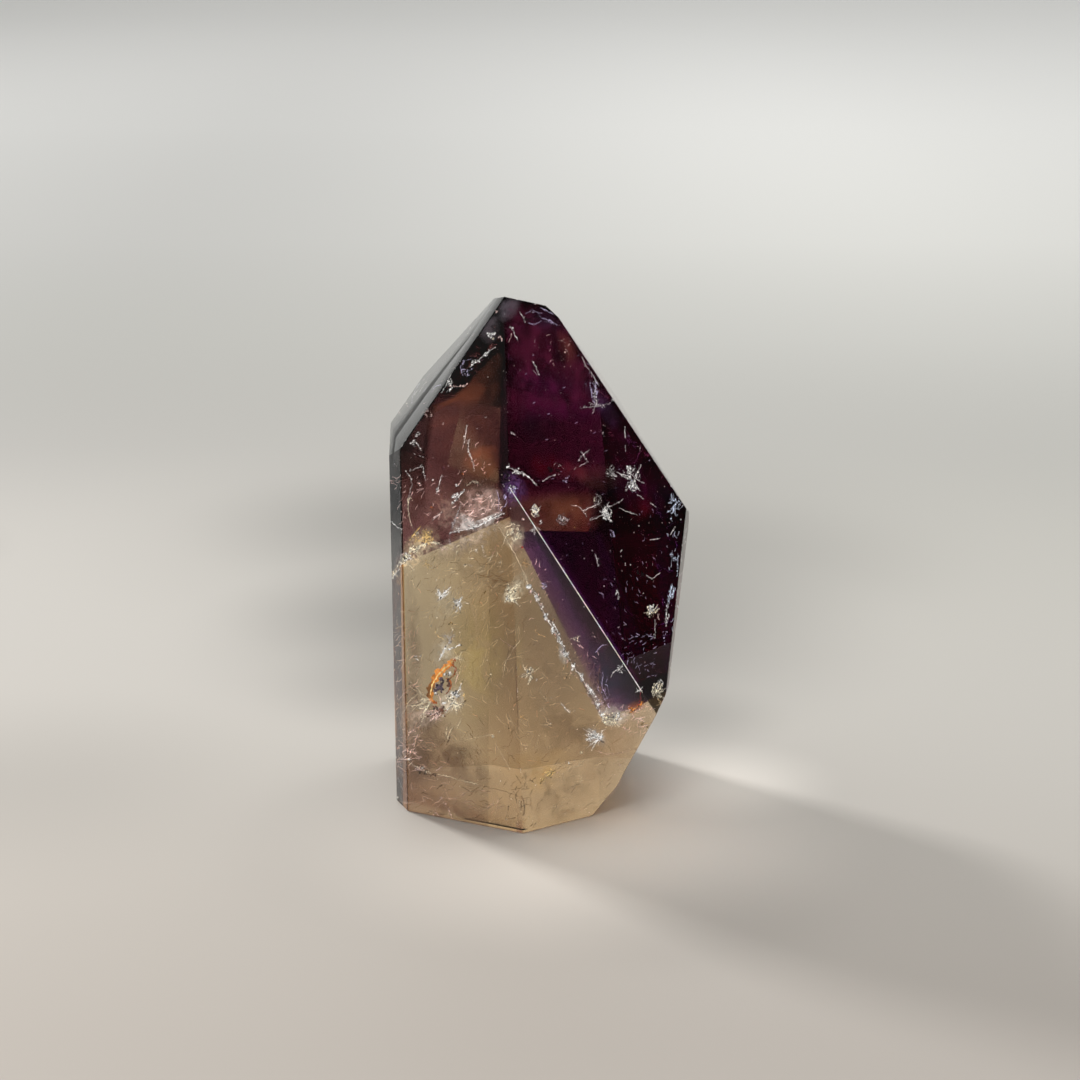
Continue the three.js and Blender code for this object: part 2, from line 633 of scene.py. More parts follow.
def spots_along(dice, points, step, shake, depth, turn):
    """Places under the polish along a line through places in the frame, drawn with a shaky hand."""
    places = []
    for (x0, y0), (x1, y1) in zip(points, points[1:]):
        count = max(1, round(math.hypot(x1 - x0, y1 - y0) / step))
        places += [(x0 + (x1 - x0) * i / count, y0 + (y1 - y0) * i / count) for i in range(count)]
    places.append(points[-1])
    spots = []
    for i, (x, y) in enumerate(places):
        loose = 0 if i in (0, len(places) - 1) else shake
        spot = under(x + dice.gauss(0, loose), y + dice.gauss(0, loose), depth, turn)
        if spot is not None:
            spots.append(spot)
    return spots


def close_blade(shape, rings):
    """The skin of a blade over its rings of four corners, closed at both ends."""
    for ring, following in zip(rings, rings[1:]):
        for i in range(4):
            shape.faces.new((ring[i - 1], ring[i], following[i], following[i - 1]))
    shape.faces.new(list(reversed(rings[0])))
    shape.faces.new(rings[-1])


def add_blade(shape, dice, points, width, tint, turn=0, shake=0.35, depth=BLADE_DEPTH):
    """A fine line through places in the frame: a slim closed blade, tapered to both ends, its tint in painted
    light.
    """
    spots = spots_along(dice, points, BLADE_STEP, shake, depth, turn)
    if len(spots) < 2:
        return
    rings = []
    last = len(spots) - 1
    light = dice.uniform(*BLADE_LIGHT)
    for i, (place, normal) in enumerate(spots):
        along = (spots[min(i + 1, last)][0] - spots[max(i - 1, 0)][0]).normalized()
        side = along.cross(normal).normalized()
        taper = BLADE_TIP + (1 - BLADE_TIP) * math.sin(math.pi * (i + 0.5) / (last + 1)) ** 0.5
        half = width * PIXEL * BLADE_FULLNESS * taper * dice.uniform(*BLADE_UNEVENNESS)
        thick = normal * min(half * 0.5, BLADE_RISE)
        light = min(1.0, max(BLADE_LEAST_LIGHT, light + dice.gauss(0, BLADE_FLICKER)))
        offsets = (side * half, thick, -side * half, -thick)
        rings.append([add_corner(shape, place + offset, lit(tint, light)) for offset in offsets])
    close_blade(shape, rings)


def add_thread(shape, dice, points, width, tint, turn=0):
    """A crumbly line through places in the frame: a hair with broken flakes strung along it."""
    add_blade(shape, dice, points, width * HAIR_SHARE, tint, turn)
    for place, normal in spots_along(dice, points, THREAD_STEP, 0.3 + 0.2 * width, THREAD_DEPTH, turn):
        if dice.random() < CRUMB_SHARE:
            add_chip(shape, dice, place, normal, width * dice.uniform(*CRUMB_SIZE), tint)


def add_fan(shape, dice, x, y, reach, first, last, count, width, tint, turn=0):
    """Uneven threads that spread from one place between two bearings, in degrees up from the right."""
    for _ in range(count):
        bearing = math.radians(dice.uniform(first, last))
        far = reach * dice.uniform(*FAN_REACH)
        sway = dice.gauss(0, FAN_SWAY)
        near = reach * dice.uniform(*FAN_GAP)
        points = []
        for share in (0.0, 0.5, 1.0):
            out = near + (far - near) * share
            angle = bearing + sway * share
            points.append((x + math.cos(angle) * out, y - math.sin(angle) * out))
        add_thread(shape, dice, points, width * dice.uniform(*FAN_WIDTH), tint, turn)


def add_scratches(shape, dice, x, y, reach_x, reach_y, count, length, bearing, width, tint, turn=0):
    """Short fine bowed marks strewn over a patch, that mostly run along one bearing, in degrees."""
    for _ in range(count):
        centre_x = x + dice.uniform(-1, 1) * reach_x
        centre_y = y + dice.uniform(-1, 1) * reach_y
        angle = math.radians(dice.gauss(bearing, SCRATCH_SCATTER))
        half = length / 2 * dice.uniform(*SCRATCH_LENGTH)
        bow = dice.gauss(0, SCRATCH_BOW) * half
        points = []
        for way in (-1, 0, 1):
            aside = bow * (1 - abs(way))
            points.append((centre_x + math.cos(angle) * half * way + math.sin(angle) * aside,
                           centre_y - math.sin(angle) * half * way + math.cos(angle) * aside))
        add_blade(shape, dice, points, width * dice.uniform(*SCRATCH_WIDTH), tint, turn)


def smooth_between(before, start, end, after, share):
    """A value on the smooth curve from start to end that also runs through its neighbours."""
    a = 2 * start
    b = (end - before) * share
    c = (2 * before - 5 * start + 4 * end - after) * share ** 2
    d = (3 * start - before - 3 * end + after) * share ** 3
    return (a + b + c + d) / 2


def smooth_outline(corners):
    """Evenly spread places on a smooth closed curve through an outline's corners."""
    places = []
    for i in range(CLOUD_SIDES):
        at = i / CLOUD_SIDES * len(corners)
        near = [corners[(int(at) + step) % len(corners)] for step in (-1, 0, 1, 2)]
        places.append([smooth_between(*values, at - int(at)) for values in zip(*near)])
    return places


def cloud_spot(centre, place, reach, depth):
    """A spot under the polish that share of the way from a cloud's centre to a place on its outline, drawn in
    where that would miss the stone."""
    spot = None
    while spot is None:
        spot = under(*(middle + (end - middle) * reach for middle, end in zip(centre, place)), depth)
        reach *= CLOUD_RETREAT
    return spot


def add_cloud(shape, _, outline, tint, strength, soft=0.4, depth=CLOUD_DEPTH):
    """A lens of cloud with that outline in the frame. It fades out over the soft share of the way in from its
    rim. Nothing about it is drawn at random."""
    centre = [sum(values) / len(outline) for values in zip(*outline)]
    rim = smooth_outline(outline)
    loops = []
    for far in (1.0, 1 - soft * 0.5, 1 - soft, (1 - soft) * 0.5):
        fade = strength * min(1.0, (1 - far) / soft)
        half = (CLOUD_BULGE * (1 - far) + CLOUD_RIM_THICKNESS) / 2
        spots = [cloud_spot(centre, place, far, depth) for place in rim]
        loops.append([[add_corner(shape, place + normal * half * way, tint, fade) for way in (1, -1)]
                      for place, normal in spots])
    place, normal = under(*centre, depth)
    half = (CLOUD_BULGE + CLOUD_RIM_THICKNESS) / 2
    poles = [add_corner(shape, place + normal * half * way, tint, strength) for way in (1, -1)]
    for side in (0, 1):
        for outer, inner in zip(loops, loops[1:]):
            for i in range(CLOUD_SIDES):
                shape.faces.new((outer[i - 1][side], outer[i][side], inner[i][side], inner[i - 1][side]))
        for i in range(CLOUD_SIDES):
            shape.faces.new((loops[-1][i - 1][side], loops[-1][i][side], poles[side]))
    for i in range(CLOUD_SIDES):
        shape.faces.new((*loops[0][i - 1], *reversed(loops[0][i])))


def add_marks_piece(name, shape, material):
    """One piece from all the marks drawn in a shape, none of which stands out of the stone."""
    bmesh.ops.recalc_face_normals(shape, faces=shape.faces)
    keep_inside(shape.verts)
    add_piece(name, finished(shape, name), material)


ADD = {
    "clusters": add_cluster,
    "threads": add_thread,
    "blades": add_blade,
    "fans": add_fan,
    "scratches": add_scratches,
    "clouds": add_cloud,
}


def make_marks(name, marks, seed, material):
    """One piece from a list of marks, given as {kind: rows}."""
    shape = new_shape()
    dice = random.Random(seed)
    for kind, rows in marks.items():
        for row in rows:
            ADD[kind](shape, dice, *row)
    add_marks_piece(name, shape, material)


FLAKE = flake_material()
SOFT_CLOUD = cloud_material("soft_cloud", scale=260, least=0.25, glow=0.5)
WISPY_VEIL = cloud_material("wispy_veil", scale=900, least=0.1, glow=0.6, detail=7.0, twist=1.6)

# --- flakes, threads and clouds: where they lie on the front ------------------------------------------
# One row is one mark. Places, reaches, sizes, lengths and widths are in pixels of the camera's frame.
#   clusters   x, y, reach across, reach down, how many flakes, their size, tint
#   threads    points, width, tint
#   blades     points, width, tint, turn, shake, depth
#   fans       x, y, reach, first and last bearing, how many threads, their width, tint
#   scratches  x, y, reach across, reach down, how many, their length, bearing, width, tint
#   clouds     outline, tint, strength, soft share, and the depth where it isn't CLOUD_DEPTH
# Depths are in metres, and bearings in degrees up from the right.

# The brown face of the tip: a healed crack runs down its left edge, another down its middle.
LEFT_TIP_FLAKES = {
    "clusters": [
        (497, 313, 3, 3, 9, 1.5, PINK), (491, 334, 5, 4, 30, 2.0, WHITE), (499, 340, 3.5, 5, 20, 1.8, PINK),
        (493, 339, 1.5, 1.5, 5, 1.6, CREAM), (487, 353, 5, 4, 22, 1.6, WHITE),
        (476, 362, 5, 3, 14, 1.5, WHITE), (464, 367, 4, 7, 16, 1.3, LILAC), (448, 384, 5, 8, 40, 1.7, WHITE),
        (463, 385, 3, 2, 9, 1.5, PINK), (428, 413, 5, 5, 24, 1.4, PINK), (443, 424, 3, 1.5, 6, 1.4, PINK),
        (417, 433, 4, 4, 22, 1.5, WHITE), (414, 445, 4, 5, 22, 1.4, WHITE), (397, 465, 4, 4, 12, 1.2, GREY),
        (395, 481, 5, 4.5, 30, 1.5, PINK), (410, 503, 3, 7, 26, 1.3, CREAM), (420, 483, 3, 3, 14, 1.5, PINK),
        (431, 479, 2.5, 2, 9, 1.3, WHITE), (486, 415, 5, 3, 5, 1.0, WHITE), (479, 429, 4, 1, 4, 1.0, WHITE),
        (436, 381, 1, 1, 2, 1.1, WHITE), (439, 372, 1, 1, 1, 1.0, WHITE), (412, 403, 1, 1, 2, 0.9, WHITE),
        (463, 344, 1.5, 3, 5, 1.2, WHITE),
    ],
    "threads": [
        (((486, 309), (492, 311)), 0.8, GREY), (((496, 347), (489, 351), (483, 356)), 1.2, WHITE),
        (((483, 356), (478, 361), (470, 367)), 2.0, WHITE),
        (((471, 359), (464, 361), (460, 367), (463, 376)), 0.8, LILAC),
        (((441, 393), (446, 386), (451, 374)), 1.4, WHITE),
        (((449, 386), (458, 387), (467, 384)), 1.6, PINK),
        (((467, 425), (466, 432), (464, 444)), 1.3, WHITE),
        (((469, 440), (468, 447), (470, 455), (473, 462), (474, 471)), 1.8, WHITE),
        (((414, 440), (418, 445), (422, 451)), 1.3, WHITE),
        (((406, 471), (411, 478), (412, 484), (410, 492), (409, 499)), 1.5, WHITE),
        (((409, 498), (408, 508), (409, 517)), 1.4, CREAM),
        (((409, 516), (411, 524), (415, 533)), 1.0, CREAM),
        (((410, 471), (418, 468), (423, 466), (424, 473), (426, 481)), 1.2, WHITE),
        (((442, 475), (440, 481), (438, 488), (437, 494)), 1.6, WHITE),
        (((390, 520), (394, 524), (398, 528), (403, 529)), 1.5, WHITE),
        (((432, 521), (438, 515), (442, 511)), 0.9, WHITE),
        (((449, 545), (450, 534), (455, 520), (460, 508)), 0.8, GREY),
    ],
}
make_marks("left_tip_flakes", LEFT_TIP_FLAKES, seed=11, material=FLAKE)

# The heart, where the tip meets the clear half: crumpled foil, and the pale arc under the brown.
HEART_FLAKES = {
    "clusters": [
        (457, 497, 6, 4, 26, 2.0, WHITE), (455, 484, 5, 3, 10, 1.4, WHITE), (474, 482, 5, 2, 12, 1.4, CREAM),
        (476, 527, 10, 3.5, 44, 1.6, WHITE), (494, 518, 8, 3.5, 34, 1.5, WHITE),
        (459, 530, 6, 3, 18, 1.5, WHITE), (453, 522, 2, 6, 10, 1.2, GREY),
        (512, 489, 4.5, 5, 34, 2.2, LILAC), (512, 489, 3, 4, 16, 2.0, WHITE),
        (504, 497, 3, 3, 12, 1.4, LILAC), (517, 471, 7, 3, 40, 1.8, WHITE),
        (535, 511, 6, 6.5, 56, 2.0, CREAM), (535, 511, 4, 4, 20, 1.8, WHITE),
        (539, 522, 3, 3, 14, 1.5, WHITE), (524, 519, 3, 2, 8, 1.4, PINK), (514, 535, 8, 8, 56, 1.7, CREAM),
        (521, 547, 2.2, 1.6, 8, 1.6, RED), (460, 474, 3.5, 3.5, 12, 2.2, RUST),
        (431, 507, 2, 3.5, 9, 2.0, RUST), (393, 571, 3, 6, 30, 1.8, CREAM), (405, 557, 6, 5, 40, 1.8, WHITE),
        (414, 549, 6, 4, 34, 1.8, CREAM), (427, 535, 6, 6, 34, 2.0, GOLD), (418, 532, 4, 5, 16, 1.6, CREAM),
        (478, 548, 6, 5, 14, 1.1, WHITE), (487, 556, 5, 6, 12, 1.0, WHITE), (466, 565, 8, 4, 10, 1.1, WHITE),
        (447, 560, 2, 2, 3, 1.0, CREAM), (436, 580, 1, 1, 2, 1.0, WHITE), (394, 559, 3, 2, 6, 1.2, WHITE),
        (389, 582, 3, 5, 30, 1.8, WHITE), (394, 574, 4, 5, 30, 1.9, CREAM), (400, 566, 5, 4, 30, 1.8, CREAM),
        (407, 558, 5, 4, 26, 1.7, WHITE), (414, 551, 5, 4, 26, 1.7, CREAM), (424, 546, 6, 3, 24, 1.6, CREAM),
        (434, 544, 6, 2.5, 20, 1.5, CREAM), (420, 538, 8, 5, 30, 1.5, GOLD), (446, 548, 6, 3, 14, 1.3, PINK),
        (460, 544, 8, 4, 18, 1.2, DULL_PINK), (478, 536, 8, 4, 18, 1.2, DULL_CREAM),
        (496, 527, 7, 4, 16, 1.2, DULL_CREAM), (408, 545, 7, 5, 20, 1.3, DULL_PINK),
        (399, 540, 5, 8, 20, 1.3, DULL_BROWN), (470, 372, 7, 6, 24, 1.2, LILAC),
    ],
    "threads": [
        (((452, 504), (457, 498), (465, 490)), 2.4, WHITE),
        (((466, 486), (473, 481), (481, 485)), 1.7, CREAM),
        (((452, 529), (455, 519), (459, 510), (461, 503)), 1.0, GREY),
        (((450, 533), (458, 531), (468, 529)), 1.6, WHITE),
        (((467, 529), (478, 526), (490, 520), (498, 516), (505, 513)), 2.2, WHITE),
        (((504, 496), (507, 503), (500, 511)), 1.0, LILAC),
        (((497, 490), (499, 500), (498, 510)), 1.0, LILAC),
        (((506, 466), (514, 470), (522, 473), (529, 477), (537, 486)), 2.0, WHITE),
        (((390, 577), (396, 568), (404, 558), (411, 551), (419, 546)), 3.0, CREAM),
        (((410, 540), (415, 533), (421, 526)), 2.0, GOLD),
        (((419, 546), (428, 543), (435, 542), (442, 545)), 1.6, CREAM),
        (((389, 583), (394, 575), (400, 568)), 1.6, WHITE),
        (((440, 545), (447, 547), (452, 549)), 0.9, CREAM),
        (((497, 525), (508, 542), (517, 558), (524, 573), (529, 586)), 0.8, CREAM),
        (((505, 528), (513, 524), (520, 526)), 1.0, CREAM),
        (((503, 545), (506, 536), (508, 529)), 1.0, CREAM),
    ],
    "fans": [
        (514, 541, 13, 30, 150, 12, 1.1, CREAM), (430, 545, 18, 60, 150, 14, 1.3, GOLD),
        (400, 565, 16, 20, 80, 12, 1.3, CREAM), (535, 511, 8, 0, 360, 12, 1.0, WHITE),
        (395, 481, 8, 0, 360, 9, 1.0, PINK), (512, 489, 7, 200, 420, 7, 1.0, LILAC),
    ],
    "scratches": [
        (478, 510, 24, 16, 60, 6, 25, 0.8, PINK), (475, 470, 18, 30, 20, 5, 60, 0.6, PINK),
        (420, 500, 24, 25, 26, 6, 50, 0.6, PINK), (480, 560, 30, 14, 26, 5, 40, 0.6, CREAM),
    ],
}
make_marks("heart_flakes", HEART_FLAKES, seed=12, material=FLAKE)

# The purple face: stars, threads and dark crumbs, most of them on the right; the blackest crumbs are painted
# shadows beside bright flakes.
RIGHT_TIP_FLAKES = {
    "clusters": [
        (531, 318, 9, 6, 14, 3.0, PAINTED_SHADOW), (536, 314, 6, 4, 10, 1.4, LILAC), (550, 318, 8, 6, 22, 1.4, LILAC),
        (536, 341, 5, 6, 6, 1.1, WHITE), (539, 415, 1, 1, 2, 1.6, WHITE), (513, 433, 2, 1, 5, 1.5, WHITE),
        (567, 350, 9, 14, 18, 1.1, PINK), (595, 390, 4, 11, 44, 1.8, LILAC),
        (594, 394, 3, 8, 18, 1.6, WHITE), (596, 407, 11, 3, 24, 1.5, WHITE),
        (611, 396, 3, 6, 14, 1.5, WHITE), (570, 417, 1, 1, 2, 1.0, WHITE), (625, 446, 1, 7, 8, 1.0, WHITE),
        (641, 446, 3, 5, 4, 1.1, WHITE), (600, 435, 14, 8, 7, 1.0, WHITE), (576, 471, 3, 4, 10, 1.3, PINK),
        (554, 468, 8, 6, 18, 3.0, PAINTED_SHADOW), (554, 466, 8, 6, 12, 1.1, WHITE), (568, 480, 6, 5, 22, 1.5, LILAC),
        (612, 472, 6, 9, 34, 1.5, WHITE), (634, 478, 7, 13, 76, 1.9, WHITE),
        (634, 480, 9, 13, 20, 1.3, LILAC), (596, 500, 6, 8, 32, 1.5, WHITE),
        (607, 512, 5, 8, 60, 1.9, WHITE), (562, 520, 6.5, 6.5, 50, 1.7, GREY),
        (562, 519, 4.5, 4.5, 22, 1.4, WHITE), (575, 528, 1.5, 1, 3, 1.4, GOLD),
        (620, 517, 1, 1, 2, 1.2, WHITE), (639, 526, 1, 1, 2, 1.2, WHITE), (613, 533, 4, 4, 24, 1.6, LILAC),
        (592, 551, 1, 1, 3, 1.4, WHITE), (638, 572, 8, 7, 22, 3.2, PAINTED_SHADOW), (604, 561, 6, 5, 10, 2.6, PAINTED_SHADOW),
        (592, 535, 3, 9, 16, 2.6, PAINTED_SHADOW), (596, 497, 4, 5, 12, 1.6, CREAM), (536, 507, 4, 4, 12, 2.0, WHITE),
        (631, 565, 1.2, 1, 3, 1.3, WHITE), (646, 546, 1, 1, 2, 1.2, WHITE), (646, 562, 1, 1, 2, 1.2, WHITE),
        (622, 570, 1.2, 1.2, 3, 1.3, WHITE), (615, 579, 1, 1, 2, 1.2, WHITE),
        (604, 586, 1, 1, 2, 1.2, WHITE), (617, 594, 2.5, 5, 10, 1.4, WHITE),
        (546, 586, 7, 4, 30, 1.5, LILAC), (651, 611, 5, 7, 46, 1.8, CREAM), (658, 618, 3, 5, 12, 1.4, PINK),
        (633, 486, 5, 6, 60, 2.6, WHITE), (628, 470, 4, 5, 36, 2.4, WHITE), (606, 514, 4, 6, 50, 2.5, WHITE),
        (652, 610, 4, 6, 40, 2.4, WHITE), (594, 392, 3, 9, 22, 2.0, WHITE),
    ],
    "threads": [
        (((520, 312), (523, 317), (525, 322)), 1.7, WHITE),
        (((526, 314), (531, 310), (537, 312), (541, 318)), 1.0, LILAC),
        (((528, 322), (534, 325), (541, 321)), 1.0, LILAC),
        (((541, 308), (547, 311), (553, 314)), 1.2, LILAC),
        (((541, 318), (549, 320), (557, 325)), 1.2, LILAC),
        (((510, 326), (514, 333), (518, 342)), 1.6, WHITE), (((512, 333), (509, 342)), 1.0, PINK),
        (((532, 361), (536, 367), (539, 375)), 1.6, WHITE), (((533, 370), (537, 375)), 1.0, WHITE),
        (((511, 432), (515, 435)), 1.8, WHITE),
        (((582, 357), (586, 366), (592, 374), (599, 386)), 1.2, WHITE),
        (((590, 380), (591, 392), (594, 403)), 1.6, LILAC),
        (((580, 408), (590, 407), (600, 406), (610, 403)), 1.4, WHITE),
        (((592, 414), (596, 405), (599, 399)), 1.1, WHITE), (((625, 427), (625, 438)), 1.5, WHITE),
        (((578, 461), (583, 455), (590, 449)), 1.4, WHITE),
        (((581, 451), (584, 456), (588, 462)), 1.2, WHITE), (((586, 463), (579, 467)), 1.2, WHITE),
        (((543, 481), (549, 477), (555, 475)), 1.4, WHITE), (((617, 472), (626, 478)), 1.4, WHITE),
        (((626, 491), (632, 484), (636, 476), (641, 465)), 1.8, WHITE),
        (((628, 470), (634, 478), (644, 483)), 1.5, WHITE), (((637, 494), (644, 499)), 1.4, WHITE),
        (((650, 503), (656, 507)), 1.2, WHITE), (((601, 502), (592, 507), (583, 511)), 1.2, WHITE),
        (((606, 514), (598, 517), (590, 520)), 1.5, WHITE),
        (((610, 507), (617, 503), (623, 499)), 1.4, WHITE),
        (((604, 505), (607, 515), (612, 522)), 1.8, WHITE),
        (((571, 505), (578, 506), (583, 511), (587, 517)), 1.1, WHITE),
        (((619, 508), (628, 512), (637, 515)), 1.0, WHITE),
        (((595, 554), (597, 559), (598, 566)), 1.4, WHITE),
        (((616, 590), (619, 593), (618, 599)), 1.4, WHITE),
        (((655, 619), (655, 628), (655, 638)), 1.5, WHITE),
        (((644, 613), (650, 612), (655, 609)), 1.4, CREAM),
    ],
    "fans": [
        (607, 512, 11, 20, 300, 7, 1.2, WHITE), (634, 480, 15, 60, 300, 8, 1.4, WHITE),
        (651, 612, 10, 0, 360, 8, 1.2, CREAM), (596, 406, 10, 40, 150, 7, 1.0, WHITE),
        (612, 472, 9, 0, 360, 6, 1.0, WHITE), (674, 505, 12, 240, 300, 6, 1.6, ICE),
    ],
    "scratches": [
        (560, 380, 45, 40, 12, 3, 20, 0.4, LILAC), (590, 450, 60, 45, 16, 3, 20, 0.4, LILAC),
        (622, 615, 26, 40, 26, 4, 130, 0.4, LILAC), (640, 655, 18, 22, 46, 4, 45, 0.4, LILAC),
        (560, 350, 16, 18, 9, 3, 60, 0.6, PINK), (640, 590, 26, 40, 9, 3, 80, 0.6, WHITE),
        (575, 540, 40, 30, 8, 3, 120, 0.4, LILAC),
    ],
}
make_marks("right_tip_flakes", RIGHT_TIP_FLAKES, seed=13, material=FLAKE)

# The right shoulder, along its edge and down to its foot.
RIGHT_EDGE_FLAKES = {
    "clusters": [
        (674, 502, 7, 9, 50, 1.8, ICE), (682, 520, 1.5, 2, 6, 1.5, WHITE), (673, 557, 4, 5, 26, 1.8, ICE),
        (671, 592, 4, 8, 40, 1.9, ICE), (667, 618, 2.5, 7, 18, 1.6, WHITE), (658, 691, 7, 9, 80, 2.0, CREAM),
        (660, 684, 5, 5, 26, 1.6, WHITE), (665, 640, 3, 14, 18, 1.2, LILAC),
    ],
    "threads": [
        (((685, 534), (685, 544)), 1.8, WHITE), (((678, 553), (678, 564), (677, 576)), 2.0, ICE),
        (((675, 527), (670, 535)), 1.4, WHITE), (((650, 540), (660, 538)), 1.3, WHITE),
        (((646, 575), (652, 579)), 1.2, WHITE), (((652, 579), (660, 573)), 1.2, WHITE),
        (((672, 585), (670, 594), (668, 602)), 2.2, ICE), (((668, 604), (666, 614), (666, 626)), 1.5, WHITE),
    ],
    "fans": [
        (674, 502, 10, 90, 300, 6, 1.4, ICE), (658, 692, 11, 0, 360, 12, 1.4, CREAM),
    ],
    "scratches": [
        (655, 560, 22, 50, 16, 3, 100, 0.5, LILAC), (673, 570, 6, 60, 26, 4, 95, 0.8, ICE),
    ],
}
make_marks("right_edge_flakes", RIGHT_EDGE_FLAKES, seed=14, material=FLAKE)

BOUNDARY = (
    (529, 586), (535, 597), (545, 615), (553, 629), (560, 641), (566, 653), (573, 666), (581, 677),
    (590, 691), (597, 704), (603, 717),
)

# The beaded seam between the clear half and the purple wedge.
BOUNDARY_FLAKES = {
    "clusters": [
        *((x, y, 3.0, 5.0, 24, 1.9, WHITE) for x, y in BOUNDARY),
        *((x + 3, y + 8, 3.5, 5, 10, 1.3, PINK) for x, y in BOUNDARY[:-1]),
        (612, 719, 11, 7, 90, 1.9, CREAM), (617, 717, 5, 5, 36, 1.9, WHITE),
        (603, 712, 5, 6, 24, 1.5, WHITE), (632, 711, 5, 4, 16, 1.8, ORANGE),
        (575, 640, 5, 3, 14, 1.4, CREAM), (564, 654, 3, 7, 18, 1.6, GREY),
    ],
    "threads": [
        (BOUNDARY, 1.6, WHITE), (((534, 591), (539, 600)), 3.2, WHITE),
        (((541, 603), (544, 608)), 1.6, WHITE), (((552, 622), (557, 630), (560, 636)), 2.0, WHITE),
        (((570, 639), (575, 638), (580, 636)), 1.6, CREAM), (((560, 641), (565, 647)), 1.6, WHITE),
        (((588, 685), (592, 691), (596, 697)), 2.2, WHITE),
        (((630, 713), (636, 708), (643, 702)), 2.2, ORANGE),
        (((632, 713), (641, 709), (649, 703)), 1.4, PINK), (((640, 690), (641, 700), (637, 709)), 1.6, RED),
        (((596, 652), (601, 646), (607, 644)), 0.9, LILAC),
        (((600, 665), (598, 680), (601, 694), (606, 706)), 1.8, BROWN),
        (((603, 672), (602, 686), (607, 698)), 1.0, LILAC),
    ],
    "fans": [
        (612, 719, 12, 150, 380, 16, 1.2, CREAM), (600, 706, 12, 60, 130, 5, 0.8, LILAC),
    ],
    "scratches": [
        (600, 690, 14, 18, 16, 5, 100, 0.5, LILAC), (585, 655, 14, 30, 14, 4, 120, 0.5, PINK),
        (640, 720, 22, 14, 50, 5, 40, 0.6, PINK),
    ],
}
make_marks("boundary_flakes", BOUNDARY_FLAKES, seed=15, material=FLAKE)

